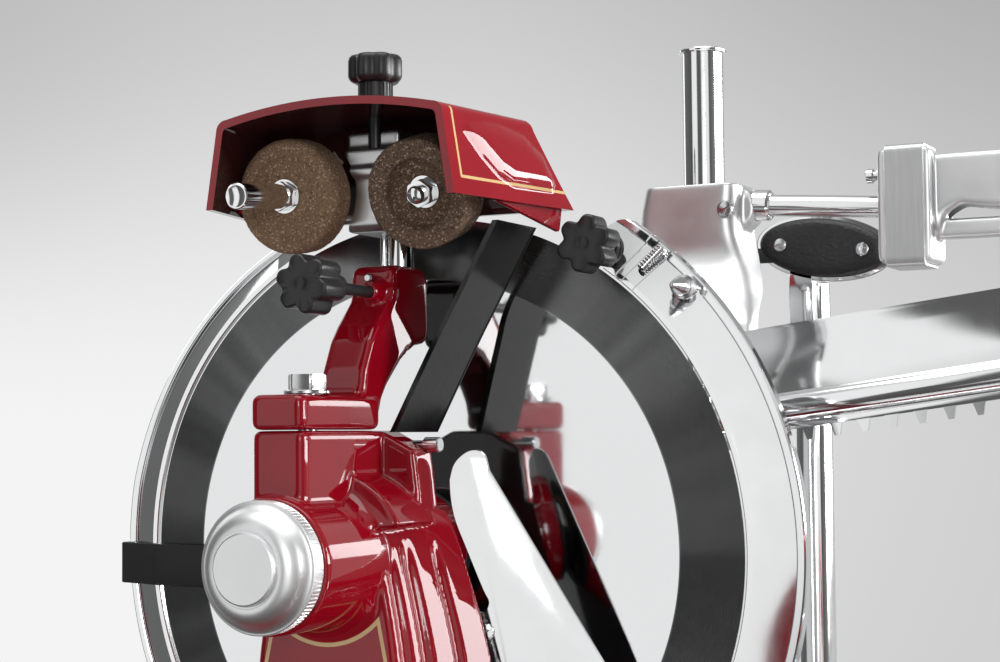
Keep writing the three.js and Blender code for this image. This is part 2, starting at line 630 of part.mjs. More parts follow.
function makeColumn() {
  const c = column;
  const body = loft(c.flareShares.map(columnRow).map((row) => levelRing(columnPlan(row), row.z)));
  const barrel = turned([
    [0, c.barrelFront], [c.barrelRadius - fit.weld, c.barrelFront], [c.barrelRadius, c.barrelFront + fit.weld],
    [c.barrelRadius, c.saddleFront - c.saddleBlend], [c.saddleRadius, c.saddleFront],
    [c.saddleRadius, c.saddleRear], [c.barrelRadius, c.saddleRear + c.saddleBlend],
    [c.barrelRadius, c.barrelRear], [0, c.barrelRear],
  ], 'y', facets.barrel);
  const block = slab(
    roundedRect(-c.blockHalf, c.blockHalf, c.blockFront, c.blockRear, c.blockCorner), 0, c.blockTop, 'z',
    fit.overrun / 4);
  const shoulder = slab([
    [-c.shoulderFlat, c.blockTop], [-c.shoulderHalf, c.shoulderTop], [-c.shoulderFoot, c.top], [0, 0],
    [c.shoulderFoot, c.top], [c.shoulderHalf, c.shoulderTop], [c.shoulderFlat, c.blockTop],
  ], c.shoulderFront, c.waistRear, 'y', fit.overrun / 4);
  const flutes = [-1, 1].flatMap((side) => c.fluteShares.map((share) => flute(side, share)));
  const bore = bearing.radius + fit.running;
  const wide = gears.passageRadius;
  const past = fit.overrun;
  const tools = [
    drum(bore, c.barrelFront - past, bearing.frontY + bearing.width + fit.seat, 'y'),
    drum(wide, c.barrelFront, bearing.rearY, 'y'),
    drum(bore, bearing.rearY - fit.seat, c.barrelRear + past, 'y'),
    shifted(drum(wide, c.bottom - past, c.cavityLow, 'z'), 0, gears.columnY, 0),
    shifted(runningBore(gears.shaftRadius, c.bottom, 0, 'z'), 0, gears.columnY, 0),
    shifted(drum(wide, c.cavityHigh, 0, 'z'), 0, gears.columnY, 0),
    shifted(drum(bracketBolt.shankRadius + fit.running, bracketBolt.shankBottom - fit.seat,
      c.blockTop + past, 'z'), bracketBolt.x, bracketBolt.y, 0),
    shifted(drum(deflectorPin.shankRadius + fit.running, deflectorPin.shankX - fit.seat,
      deflectorPin.right, 'x', facets.small), 0, deflectorPin.y, deflectorPin.z),
    shifted(drum(deflectorPin.radius + fit.running, deflectorPin.left - fit.seat,
      c.shoulderFoot + past, 'x', facets.small), 0, deflectorPin.y, deflectorPin.z),
  ];
  part('knife_column', cut(join(body, barrel, block, shoulder), ...flutes, ...tools), 'redEnamel');
}

function makeHubCap() {
  const h = hubCap;
  part('hub_cap', turned([
    [0, h.discY], [h.discRadius, h.discY], [h.stepRadius, h.stepY], [h.crestRadius, h.crestY],
    [h.domeRadius, h.domeY], [h.rimRadius, h.rimY], [h.rimRadius, h.backY],
    [h.spigotRadius, h.backY], [h.spigotRadius, h.spigotY], [0, h.spigotY],
  ], 'y', facets.barrel), 'satinCap');
}

// Base, feet and rails

const baseOutline = (inset) => roundedRect(
  base.left + inset, base.right - inset, base.front + inset, base.back - inset, base.corner - inset);

function makeBase() {
  const b = base;
  const height = b.top - b.bottom;
  const rows = b.sectionShares.map(([up, inward]) => [b.bottom + height * up, b.waist * inward]);
  const outer = loft(rows.map(([z, inset]) => levelRing(baseOutline(inset), z)));
  const innerRows = rows.slice(0, -1).map(([z, inset]) => [z, inset + b.wall]);
  innerRows[0][0] -= fit.overrun;
  innerRows.at(-1)[0] = b.top - b.wall;
  const inner = loft(innerRows.map(([z, inset]) => levelRing(baseOutline(inset), z)));
  const bosses = footPlaces().map(([x, y]) => shifted(
    drum(b.bossRadius, b.bottom + fit.seat, b.top - b.wall / 2, 'z', facets.small), x, y, 0));
  const under = b.top - b.wall / 2;
  const web = (x) => box(x - b.webThickness / 2, x + b.webThickness / 2,
    gears.columnY - b.webWidth / 2, gears.columnY + b.webWidth / 2, under - b.webDrop, under);
  const webs = [web(b.webInset), web(flywheel.x - b.webInset),
    box(flywheel.x - b.webWidth / 2, flywheel.x + b.webWidth / 2,
      b.layWebY, b.layWebY + b.webThickness, under - b.webDrop, under)];
  const ears = [rail.frontY, rail.backY].flatMap((y) => [rail.left, rail.right - b.earThickness].map((x) => slab(
    roundedRect(y - b.earHalf, y + b.earHalf, b.top - b.wall / 2, rail.z + b.earHalf, b.earHalf / 2),
    x, x + b.earThickness, 'x')));
  const bore = runningRadius(gears.shaftRadius);
  const railBores = [rail.frontY, rail.backY].map((y) => shifted(
    drum(rail.radius + fit.running, rail.left + b.wall, rail.right - b.wall, 'x'), 0, y, rail.z));
  const tools = [
    shifted(drum(gears.passageRadius, b.top - b.wall - fit.overrun, b.top + fit.overrun, 'z'),
      0, gears.columnY, 0),
    box(flywheel.x - pedestal.cavityRadius, flywheel.x + pedestal.cavityRadius, pedestal.cavityFront,
      pedestal.cavityBack, b.top - b.wall - fit.overrun, b.top + fit.overrun),
    shifted(drum(bore, 0, flywheel.x, 'x'), 0, gears.columnY, gears.crossZ),
    shifted(drum(bore, b.layWebY - fit.overrun, b.layWebY + b.webThickness + fit.overrun, 'y'),
      flywheel.x, 0, gears.crossZ),
    ...railBores,
  ];
  part('base_casting', cut(join(cut(outer, inner), ...bosses, ...webs, ...ears), ...tools), 'redEnamel');
}

function footPlaces() {
  const { left, right, front, back, bossInset } = base;
  return [[left + bossInset, front + bossInset], [right - bossInset, front + bossInset],
    [left + bossInset, back - bossInset], [right - bossInset, back - bossInset]];
}

function makeFeet() {
  const names = ['foot_front_left', 'foot_front_right', 'foot_rear_left', 'foot_rear_right'];
  footPlaces().forEach(([x, y], i) => {
    const group = groupAt(x, y, base.bottom - foot.height - fit.seat);
    part(names[i], turned([
      [0, 0], [foot.padRadius, 0], [foot.padRadius, foot.height * 0.2], [foot.waistRadius, foot.height * 0.4],
      [foot.radius, foot.height * 0.8], [foot.radius, foot.height], [0, foot.height],
    ], 'z'), 'rubber', group);
  });
}

function makeRails() {
  const names = { rail_front: rail.frontY, rail_rear: rail.backY };
  for (const [name, y] of Object.entries(names)) {
    const group = groupAt(0, y, rail.z);
    const [from, to] = [rail.left + base.wall + fit.seat, rail.right - base.wall - fit.seat];
    part(name, drum(rail.radius, from, to, 'x'), 'polishedSteel', group);
  }
}

// Guard ring round the knife

function guardProfile(clock) {
  const g = guard;
  const taper = clock > g.taperStart
    ? 1 - (1 - g.taperShare) * ((clock - g.taperStart) / (g.endClock - g.taperStart)) : 1;
  const out = (r) => g.flatRadius + (r - g.flatRadius) * taper;
  return [
    [g.innerRadius, g.frontY], [g.flatRadius, g.frontY], [out(g.channelRadius), g.channelY],
    [out(g.channelRadius), g.lipY], [out(g.radius), g.lipY], [out(g.radius), g.backY],
    [out(g.backRadius), g.backY], [g.flatRadius, g.innerBack], [g.innerRadius, g.innerBack],
  ];
}

function makeGuard() {
  const g = guard;
  const pinHole = shifted(drum(guardPin.grooveRadius + fit.running, 0, g.backY + fit.overrun, 'y',
    facets.small), guardPin.x, 0, guardPin.z);
  part('guard_ring', cut(arcSweep(guardProfile, g.startClock, g.endClock, facets.arcStep), pinHole),
    'polishedSteel');
  const end = THREE.MathUtils.degToRad(g.plateStart);
  const round = slab(roundedRect(g.innerRadius - fit.weld, g.radius + fit.weld, 0,
    g.radius * 0.3, g.plateCorner), -fit.overrun, g.backY + fit.overrun, 'y');
  const turn = new THREE.Matrix4().makeRotationY(end - Math.PI / 2);
  const flip = new THREE.Matrix4().makeScale(1, 1, -1);
  const trim = round.transform(turn.multiply(flip).toArray());
  const studHole = shifted(runningBore(guardKnob.studRadius, -g.backY, g.backY + fit.overrun, 'y'),
    guardKnob.x, 0, guardKnob.z);
  const plate = arcSweep(guardProfile, g.plateStart, g.plateEnd, facets.arcStep / 2).intersect(trim);
  const between = (r, end) => (r - g.flatRadius) / (end - g.flatRadius);
  const faceAt = (r) => g.frontY + (g.channelY - g.frontY) * between(r, g.channelRadius);
  const backAt = (r) => g.innerBack + (g.backY - g.innerBack) * between(r, g.backRadius);
  const [low, high] = [g.flatRadius + g.tongueInset, g.channelRadius - g.tongueInset];
  const tongueProfile = () => [
    [low, faceAt(low) + g.tongueRecess], [high, faceAt(high) + g.tongueRecess],
    [high, backAt(high) - g.tongueRecess / 2], [low, backAt(low) - g.tongueRecess / 2],
  ];
  const seatAngle = THREE.MathUtils.radToDeg(fit.seat / g.innerRadius);
  const tongue = arcSweep(tongueProfile, g.plateEnd - g.tongueAngle, g.startClock - seatAngle, facets.arcStep);
  part('guard_end_plate', cut(join(plate, tongue), studHole), 'polishedSteel');
}

function makeGuardArm() {
  const a = guardArm;
  const y = a.y + a.thickness;
  const ring = turned([
    [a.ringHole, a.y], [a.ringRadius, a.y], [a.ringRadius, y], [a.ringHole, y], [a.ringHole, a.y],
  ], 'y');
  const strap = box(a.outer, -(a.ringHole + a.ringRadius) / 2, a.y, y, a.bottom, a.top);
  const hook = box(a.outer, a.outer + a.thickness, a.y, a.hookBack, a.bottom, a.top);
  part('guard_arm', join(ring, strap, hook), 'blackStrap');
}

function makeGuardStay() {
  const s = guardStay;
  const y = guard.backY + fit.seat;
  const riser = box(-s.half, s.half, y, y + s.thickness, base.top + fit.seat, base.top + s.rise);
  const foot = box(-s.half, s.half, y, y + s.depth, base.top + fit.seat, base.top + s.footThickness);
  part('guard_stay', join(riser, foot), 'brushedSteel');
}

function makeGuardKnob() {
  const k = guardKnob;
  const group = groupAt(k.x, 0, k.z);
  const head = slab(lobed(k.radius, k.lobeDepth, k.lobes), k.faceY, k.headBack, 'y', fit.overrun / 6);
  const stem = turned([
    [0, k.headBack - fit.weld], [k.bossRadius, k.headBack - fit.weld], [k.bossRadius, k.bossBack],
    [k.collarRadius, k.bossBack], [k.collarRadius, k.collarBack], [k.studRadius, k.collarBack],
    [k.studRadius, k.studBack], [0, k.studBack],
  ], 'y');
  part('guard_knob', join(head, stem), 'blackPlastic', group);
}

function makeGuardPin() {
  const p = guardPin;
  const group = groupAt(p.x, 0, p.z);
  part('guard_pin', turned([
    [0, p.frontY], [p.tipRadius, p.frontY], [p.radius, p.shoulderY], [p.radius, p.grooveY],
    [p.grooveRadius, p.grooveY], [p.grooveRadius, p.backY], [0, p.backY],
  ], 'y', facets.small), 'polishedSteel', group);
}

// Slice deflector

function makeDeflector() {
  const d = deflector;
  const plate = slab(inBox(d.outlineShares, d.left, d.right, d.bottom, d.top), d.y, d.y + d.thickness, 'y');
  const head = shifted(drum(d.screwRadius, d.y - d.screwHead, d.y + fit.weld, 'y', facets.small),
    d.screwX, 0, d.screwZ);
  part('deflector_plate', join(plate, head), 'polishedSteel');
  const a = deflectorArm;
  const slope = new THREE.Vector2(a.tipX - a.footX, a.tipZ - a.footZ).normalize();
  const side = a.thickness / slope.y;
  part('deflector_arm', slab([
    [a.footX, a.footZ], [a.footX + side, a.footZ], [a.tipX + side, a.tipZ], [a.tipX, a.tipZ],
  ], a.front, a.back, 'y'), 'brushedSteel');
  const p = deflectorPin;
  const pinGroup = groupAt(0, p.y, p.z);
  part('deflector_pin', turned([
    [0, p.shankX], [p.shankRadius, p.shankX], [p.shankRadius, p.left], [p.radius, p.left],
    [p.radius, p.right], [0, p.right],
  ], 'x', facets.small), 'polishedSteel', pinGroup);
}

// Sharpener

function makeBracket() {
  const b = bracket;
  const arm = slab(inBox(b.armShares, b.front, b.back, b.bottom, b.top), -b.half, b.half, 'x', b.round);
  const sole = slab(roundedRect(-b.footHalf, b.footHalf, b.front, b.footBack, column.blockCorner),
    b.bottom, b.footTop, 'z', b.round / 2);
  const hole = (at, radius, from, to) => shifted(drum(radius + fit.running, from, to, 'z'), at.x, at.y, 0);
  const past = fit.overrun;
  const tools = [
    hole(guideRod, guideRod.radius, b.bottom + past * 4, b.top + past),
    hole(stopRod, stopRod.radius, stopRod.bottom - past, b.top + past),
    hole(bracketBolt, bracketBolt.shankRadius, b.bottom - past, b.footTop + past),
    shifted(runningBore(bracketKnob.pinRadius, b.front, bracketKnob.pinBack + fit.seat, 'y',
      facets.small), bracketKnob.x, 0, bracketKnob.z),
  ];
  part('sharpener_bracket', cut(join(arm, sole), ...tools), 'redEnamel');
}

function makeBracketBolt() {
  const b = bracketBolt;
  const seat = bracket.footTop + fit.seat;
  const group = groupAt(b.x, b.y, seat);
  const washer = drum(b.washerRadius, 0, b.washerHeight, 'z');
  const head = slab(circle(b.headRadius, 6), b.washerHeight - fit.seat, b.washerHeight + b.headHeight, 'z',
    fit.weld);
  const shank = drum(b.shankRadius, b.shankBottom - seat, fit.seat, 'z');
  part('bracket_bolt', join(washer, head, shank), 'machined', group);
}

function makeBracketKnob() {
  const k = bracketKnob;
  const group = groupAt(k.x, 0, k.z);
  const head = slab(lobed(k.radius, k.lobeDepth, k.lobes), k.headFront, k.headBack, 'y', fit.overrun / 6);
  const stem = turned([
    [0, k.headBack - fit.weld], [k.bossRadius, k.headBack - fit.weld], [k.bossRadius, k.bossBack],
    [k.pinRadius, k.bossBack], [k.pinRadius, k.pinBack], [0, k.pinBack],
  ], 'y', facets.small);
  part('bracket_knob', join(head, stem), 'blackPlastic', group);
}

function makeRods() {
  for (const [name, rod] of Object.entries({ guide_rod: guideRod, stop_rod: stopRod })) {
    const group = groupAt(rod.x, rod.y, 0);
    part(name, drum(rod.radius, rod.bottom, rod.top, 'z'), 'polishedSteel', group);
  }
}

// Section of the hood across the machine, drawn in by the wall for its inside.
function hoodSection(share, wall) {
  const h = hood;
  const half = (front, back) => front + (back - front) * share - wall;
  const [low, high] = [half(h.frontHalfBottom, h.backHalfBottom), half(h.frontHalfTop, h.backHalfTop)];
  const bottom = wall > 0 ? h.bottom - fit.overrun : h.bottom;
  const right = [[low, bottom], [high + fit.weld, h.side - wall - h.corner], [high, h.side - wall - h.corner / 2]];
  for (let i = 0; i <= h.crownSteps; i += 1) {
    const across = 1 - (i / h.crownSteps) * 2;
    const rise = (h.crown - h.side) * (1 - across * across);
    right.push([(high - h.corner / 2) * across, h.side - wall + rise]);
  }
  right.push([-high, h.side - wall - h.corner / 2], [-high - fit.weld, h.side - wall - h.corner], [-low, bottom]);
  return right;
}

function makeHood() {
  const h = hood;
  const outer = loft([uprightRing(hoodSection(0, 0), h.front), uprightRing(hoodSection(1, 0), h.back)]);
  const share = (y) => (y - h.front) / (h.back - h.front);
  const innerFront = h.front - fit.overrun;
  const inner = loft([uprightRing(hoodSection(share(innerFront), h.wall), innerFront),
    uprightRing(hoodSection(1, h.wall), h.back)]);
  // The back leans forward towards the top, outside and inside alike.
  const wide = h.backHalfBottom * 2;
  const lean = (h.backTopY - h.back) / (h.crown - h.bottom);
  const past = fit.overrun;
  const backEdge = (wall) => [
    [h.back - wall - lean * past, h.bottom - past], [h.backTopY - wall + lean * past, h.crown + past]];
  const wedge = (wall) => {
    const [low, high] = backEdge(wall);
    return slab([low, [h.back + wide, low[1]], [h.back + wide, high[1]], high], -wide, wide, 'x');
  };
  const shell = cut(cut(outer, wedge(0)), cut(inner, wedge(h.wall)));
  const k = sharpenerKnob;
  const hole = shifted(runningBore(k.screwRadius, h.bottom, h.crown + past, 'z'), k.x, k.y, 0);
  part('sharpener_hood', cut(shell, hole), 'redEnamel');
}

function stoneGroup(stone) {
  const group = groupAt(stone.x, stone.y, stone.z);
  group.rotation.x = THREE.MathUtils.degToRad(stone.tilt);
  group.updateMatrixWorld(true);
  return group;
}

function makeSharpenerBody() {
  const s = sharpenerBody;
  const core = slab([
    [s.front, s.bottom], [s.back, s.bottom], [s.back, s.shoulder], [s.topBack, s.top], [s.front, s.top],
  ], -s.half, s.half, 'x', fit.weld * 2);
  const past = fit.overrun;
  const onStone = (solid, stone) => {
    const tilt = new THREE.Matrix4().makeRotationX(THREE.MathUtils.degToRad(stone.tilt));
    return solid.transform(tilt.setPosition(stone.x, stone.y, stone.z).toArray());
  };
  const bosses = [];
  const arms = [];
  const tools = [];
  for (const [stone, spindle] of [[leftStone, leftSpindle], [rightStone, rightSpindle]]) {
    const travelled = stone.thickness + stone.push;
    const boss = travelled + s.bossGap;
    bosses.push(onStone(drum(s.bossRadius, boss, boss + s.bossLength, 'y'), stone));
    const armFront = stone.y + travelled + s.armGap;
    arms.push(box(Math.min(0, stone.x), Math.max(0, stone.x), armFront, armFront + s.armThickness,
      stone.z - s.armHeight / 2, stone.z + s.armHeight / 2));
    tools.push(onStone(runningBore(spindle.radius, -past, boss + s.bossLength + past * 2, 'y'), stone));
    tools.push(onStone(drum(stone.radius + past / 4, -past, travelled + past / 4, 'y', facets.barrel), stone));
  }
  const hole = (at, radius, from, to) => shifted(runningBore(radius, from, to, 'z'), at.x, at.y, 0);
  tools.push(
    hole(guideRod, guideRod.radius, s.bottom - past, guideRod.top + s.drop + fit.seat),
    hole(stopRod, stopRod.radius, s.bottom - past, stopRod.top + s.drop + fit.seat),
    hole(sharpenerKnob, sharpenerKnob.screwRadius, sharpenerKnob.screwBottom - fit.seat, s.top + past),
  );
  part('sharpener_body', cut(join(core, ...bosses, ...arms), ...tools), 'castAluminium');
}

function makeSharpenerKnob() {
  const k = sharpenerKnob;
  const group = groupAt(k.x, k.y, 0);
  const head = slab(lobed(k.radius, k.lobeDepth, k.lobes), k.stemTop, k.headTop, 'z', k.chamfer);
  const stem = drum(k.stemRadius, hood.crown + fit.seat, k.stemTop + fit.weld, 'z');
  const screw = drum(k.screwRadius, k.screwBottom, hood.crown + fit.weld, 'z');
  part('sharpener_knob', join(head, stem, screw), 'blackPlastic', group);
}

function makeStones() {
  const l = leftStone;
  const left = stoneGroup(l);
  const s = leftSpindle;
  const eye = runningRadius(s.radius);
  part('stone_left', turned([
    [eye, 0], [l.radius - l.chamfer, 0], [l.radius, l.chamfer], [l.radius, l.thickness],
    [eye, l.thickness], [eye, 0],
  ], 'y', facets.barrel), 'stone', left);
  const pin = drum(s.radius, s.front, s.back, 'y');
  const nut = slab(circle(s.nutRadius, 6), -fit.seat - s.nutHeight, -fit.seat, 'y', fit.weld);
  part('spindle_left', join(pin, nut), 'polishedSteel', left);
  const r = rightStone;
  const right = stoneGroup(r);
  const q = rightSpindle;
  const socket = runningRadius(q.radius);
  part('stone_right', turned([
    [socket, r.recess], [r.rimRadius - r.chamfer, r.recess], [r.rimRadius, 0],
    [r.radius - r.chamfer, 0], [r.radius, r.chamfer], [r.radius, r.thickness],
    [socket, r.thickness], [socket, r.recess],
  ], 'y', facets.barrel), 'stone', right);
  const stem = drum(q.radius, q.front, q.back, 'y');
  const cap = slab(circle(q.nutRadius, 6), r.recess - fit.seat - q.nutHeight, r.recess - fit.seat, 'y',
    fit.weld);
  part('spindle_right', join(stem, cap), 'polishedSteel', right);
}

// Flywheel, crank and drive

function spokeSolid(index) {
  const f = flywheel;
  const turn = (index / f.spokes) * 2 * Math.PI;
  const rings = [];
  const reach = f.rimInner + fit.overrun - f.hubRadius * 0.6;
  for (let i = 0; i <= f.spokeSteps; i += 1) {
    const share = i / f.spokeSteps;
    const r = f.hubRadius * 0.6 + reach * share;
    const sway = f.spokeBend * Math.sin(share * Math.PI) * (share - 0.5) * 2;
    const width = (f.spokeWidth / 2) * (1.25 - 0.45 * share);
    const middle = (f.front + f.back) / 2;
    const section = circle(1, 6).map(([a, b]) => [sway + a * width, middle + (b * f.spokeDepth) / 2]);
    rings.push(section.map(([x, y]) => new THREE.Vector3(
      x * Math.cos(turn) + r * Math.sin(turn), y, r * Math.cos(turn) - x * Math.sin(turn))));
  }
  return loft(rings);
}

function crankPlace() {
  const clock = THREE.MathUtils.degToRad(crank.clock);
  return [crank.radius * Math.sin(clock), crank.radius * Math.cos(clock)];
}

function makeFlywheel(group) {
  const f = flywheel;
  const rim = turned([
    [f.rimInner, f.front + f.rimRound], [f.rimInner + f.rimRound, f.front], [f.radius - f.rimRound, f.front],
    [f.radius, f.front + f.rimRound], [f.radius, f.back - f.rimRound], [f.radius - f.rimRound, f.back],
    [f.rimInner + f.rimRound, f.back], [f.rimInner, f.back - f.rimRound], [f.rimInner, f.front + f.rimRound],
  ], 'y', facets.disc);
  const hub = turned([
    [0, f.hubFront], [f.hubRadius - f.rimRound, f.hubFront], [f.hubRadius, f.hubFront + f.rimRound],
    [f.hubRadius, f.hubBack], [0, f.hubBack],
  ], 'y');
  const spokes = Array.from({ length: f.spokes }, (_, i) => spokeSolid(i));
  const [x, z] = crankPlace();
  const pinBore = shifted(drum(crank.pinRadius + fit.running, f.front - fit.overrun, f.back + fit.overrun,
    'y'), x, 0, z);
  const bore = drum(flywheelShaft.radius + fit.running, f.hubFront - fit.overrun, f.hubBack + fit.overrun, 'y');
  part('flywheel', cut(join(rim, hub, ...spokes), pinBore, bore), 'redEnamel', group);
}

function makeFlywheelShaft(group) {
  const s = flywheelShaft;
  const seat = flywheel.hubFront - fit.seat;
  const shaft = drum(s.radius, s.front, s.back, 'y');
  const nut = slab(circle(s.nutRadius, 6), s.nutFront, seat, 'y', fit.weld);
  const cap = turned([
    [0, s.crown], [s.capRadius * 0.45, s.crown], [s.capRadius * 0.85, (s.crown + s.nutFront) / 2],
    [s.capRadius, s.nutFront], [s.capRadius, seat - s.washer], [s.washerRadius, seat - s.washer],
    [s.washerRadius, seat], [0, seat],
  ], 'y');
  part('flywheel_shaft', join(shaft, nut, cap), 'polishedSteel', group);
  const halfPitch = Math.PI / gears.wheelTeeth;
  const outline = gearOutline(gears.spurModule, gears.wheelTeeth).map(([x, y]) => {
    const turn = -Math.PI / 2 + halfPitch;
    return [x * Math.cos(turn) - y * Math.sin(turn), x * Math.sin(turn) + y * Math.cos(turn)];
  });
  const [from, to] = [gears.wheelY, gears.wheelY + gears.faceWidth];
  const bore = drum(s.radius + fit.running, from - fit.overrun, to + fit.overrun, 'y');
  part('flywheel_gear', cut(slab(outline, from, to, 'y'), bore), 'machined', group);
}

function makeCrank(group) {
  const [x, z] = crankPlace();
  const handle = groupAt(x, 0, z, group);
  const c = crank;
  part('crank_pin', turned([
    [0, c.headFront], [c.headRadius - fit.weld * 2, c.headFront], [c.headRadius, c.headFront + fit.weld * 2],
    [c.headRadius, c.headFront + c.headHeight], [c.pinRadius, c.headFront + c.headHeight],
    [c.pinRadius, c.pinBack], [0, c.pinBack],
  ], 'y'), 'polishedSteel', handle);
  const length = c.gripBack - c.gripFront;
  const bore = runningRadius(c.pinRadius);
  const along = (share, radius) => [radius, c.gripFront + length * share];
  part('crank_handle', turned([
    along(0, bore), along(0, c.gripEnd), along(0.06, c.gripRadius - 1), along(0.2, c.gripRadius),
    along(0.5, c.gripRadius * 0.97), along(0.75, c.gripWaist), along(0.93, c.gripWaist * 0.96),
    along(0.97, c.gripRadius), along(1, c.gripRadius), along(1, bore), along(0, bore),
  ], 'y'), 'blackPlastic', handle);
}

function makePedestal(group) {
  const p = pedestal;
  const ground = base.top + fit.seat - flywheel.z;
  const housing = turned([
    [0, p.barrelFront], [p.barrelRadius, p.barrelFront], [p.barrelRadius, p.drumFront - p.drumRound],
    [p.drumRadius - p.drumRound, p.drumFront], [p.drumRadius, p.drumFront + p.drumRound],
    [p.drumRadius, p.drumBack - p.drumRound], [p.drumRadius - p.drumRound, p.drumBack], [0, p.drumBack],
  ], 'y', facets.disc);
  const plan = (half, grow, z) => levelRing(
    roundedRect(-half, half, p.footFront + grow, p.footBack - grow, p.corner), z);
  const sole = loft([plan(p.footHalf, 0, ground), plan(p.footHalf, 0, ground + p.footHeight),
    plan(p.neckHalf, p.corner, 0)]);
  const below = box(-p.footHalf * 2, p.footHalf * 2, p.footFront * 2, p.footBack * 4, -flywheel.radius, ground);
  const tools = [
    below,
    drum(p.cavityRadius, p.cavityFront, p.cavityBack, 'y', facets.barrel),
    drum(p.bushRadius + fit.running, p.barrelFront - fit.overrun, p.barrelFront + p.bushLength, 'y'),
    runningBore(flywheelShaft.radius, p.barrelFront, flywheelShaft.back + fit.seat, 'y'),
  ];
  part('flywheel_pedestal', cut(join(housing, sole), ...tools), 'redEnamel', group);
  const inner = runningRadius(flywheelShaft.radius);
  const [from, to] = [p.barrelFront, p.barrelFront + p.bushLength - fit.seat];
  part('flywheel_bush', turned([
    [inner, from], [p.bushRadius, from], [p.bushRadius, to], [inner, to], [inner, from],
  ], 'y'), 'bronze', group);
}

function makeDriveShafts() {
  const lay = groupAt(flywheel.x, 0, gears.crossZ);
  const outline = gearOutline(gears.spurModule, gears.pinionTeeth).map(([x, y]) => [-y, x]);
  const pinion = slab(outline, gears.wheelY, gears.wheelY + gears.faceWidth, 'y');
  const layShaft = drum(gears.shaftRadius, gears.columnY + bevelFront, base.layWebY + base.webThickness, 'y');
  const layBevel = bevelAt(new THREE.Vector3(0, gears.columnY, 0), unit.y, minus(unit.x), toothPhase);
  part('lay_shaft', join(layShaft, pinion, layBevel), 'machined', lay);

  const cross = groupAt(0, gears.columnY, gears.crossZ);
  const crossShaft = drum(gears.shaftRadius, bevelFront, flywheel.x - bevelFront, 'x');
  const rightBevel = bevelAt(new THREE.Vector3(flywheel.x, 0, 0), minus(unit.x), unit.y, gapPhase);
  const leftBevel = bevelAt(new THREE.Vector3(), unit.x, unit.z, toothPhase);
  part('cross_shaft', join(crossShaft, rightBevel, leftBevel), 'machined', cross);

  const upright = groupAt(0, gears.columnY, 0);
  const columnShaft = drum(gears.shaftRadius, gears.crossZ + bevelFront, -bevelFront, 'z');
  const lowBevel = bevelAt(new THREE.Vector3(0, 0, gears.crossZ), unit.z, unit.x, gapPhase);
  const highBevel = bevelAt(new THREE.Vector3(), minus(unit.z), minus(unit.y), toothPhase);
  part('column_shaft', join(columnShaft, lowBevel, highBevel), 'machined', upright);
}

function makeTray() {
  const t = tray;
  const outline = (inset) => roundedRect(t.left + inset, t.right - inset, t.front + inset, t.back - inset,
    t.corner - inset / 2);
  const outer = loft([levelRing(outline(t.lip), t.z), levelRing(outline(0), t.z + t.rim)]);
  const inner = loft([levelRing(outline(t.lip + t.thickness), t.z + t.thickness),
    levelRing(outline(t.thickness), t.z + t.rim + fit.seat)]);
  const ribs = [t.left + t.ribInset, t.right - t.ribInset - t.ribWidth].map((x) => box(
    x, x + t.ribWidth, base.front + base.waist, t.back - t.ribInset, base.top + fit.seat,
    t.z + t.thickness / 2));
  part('slice_tray', join(cut(outer, inner), ...ribs), 'brushedSteel');
}

// Carriage and meat table

function makeCarriage() {
  const c = carriage;
  const deck = slab(roundedRect(c.left, c.right, c.front, c.back, c.corner), c.deck, c.top, 'z');
  const blocks = [rail.frontY, rail.backY].flatMap((y) => [c.left + c.corner, c.right - c.corner - c.bushLength]
    .map((x) => slab(roundedRect(y - c.bushHalf, y + c.bushHalf, rail.z - c.bushHalf, c.deck + fit.weld,
      c.bushHalf / 3), x, x + c.bushLength, 'x')));
  const screwBlock = (y) => box(feed.x - c.bushHalf, feed.x + c.bushHalf, y, y + c.screwBlock,
    feed.z - c.bushHalf * 0.6, c.deck + fit.weld);
  const bores = [rail.frontY, rail.backY].map((y) => shifted(
    drum(c.bore, c.left - fit.overrun, c.right + fit.overrun, 'x'), 0, y, rail.z));
  const slot = box(feed.x - c.slotHalf, feed.x + c.slotHalf, c.slotFront, c.slotBack, c.deck - fit.overrun,
    c.top + fit.overrun);
  const grooves = [feed.x - c.guideX, feed.x + c.guideX].map((x) => box(
    x - c.guideHalf, x + c.guideHalf, c.front - fit.overrun, c.back + fit.overrun,
    c.top - table.ribHeight, c.top + fit.overrun));
  const screwBore = shifted(runningBore(feed.radius, c.front, c.back + fit.overrun, 'y'),
    feed.x, 0, feed.z);
  const dialBore = shifted(runningBore(dial.gripRadius / 2, c.right - c.bushLength / 3, c.right
    + fit.overrun, 'x', facets.small), 0, dial.y, dial.z);
  const dialBlock = box(c.right - c.bushLength / 2, c.right - fit.seat, dial.y - c.bushHalf,
    dial.y + c.bushHalf, dial.z - c.bushHalf, c.deck + fit.weld);
  part('carriage', cut(join(deck, ...blocks, screwBlock(c.front),
    screwBlock(c.back - c.screwBlock), dialBlock), ...bores, slot, ...grooves, screwBore, dialBore),
  'castAluminium');
}

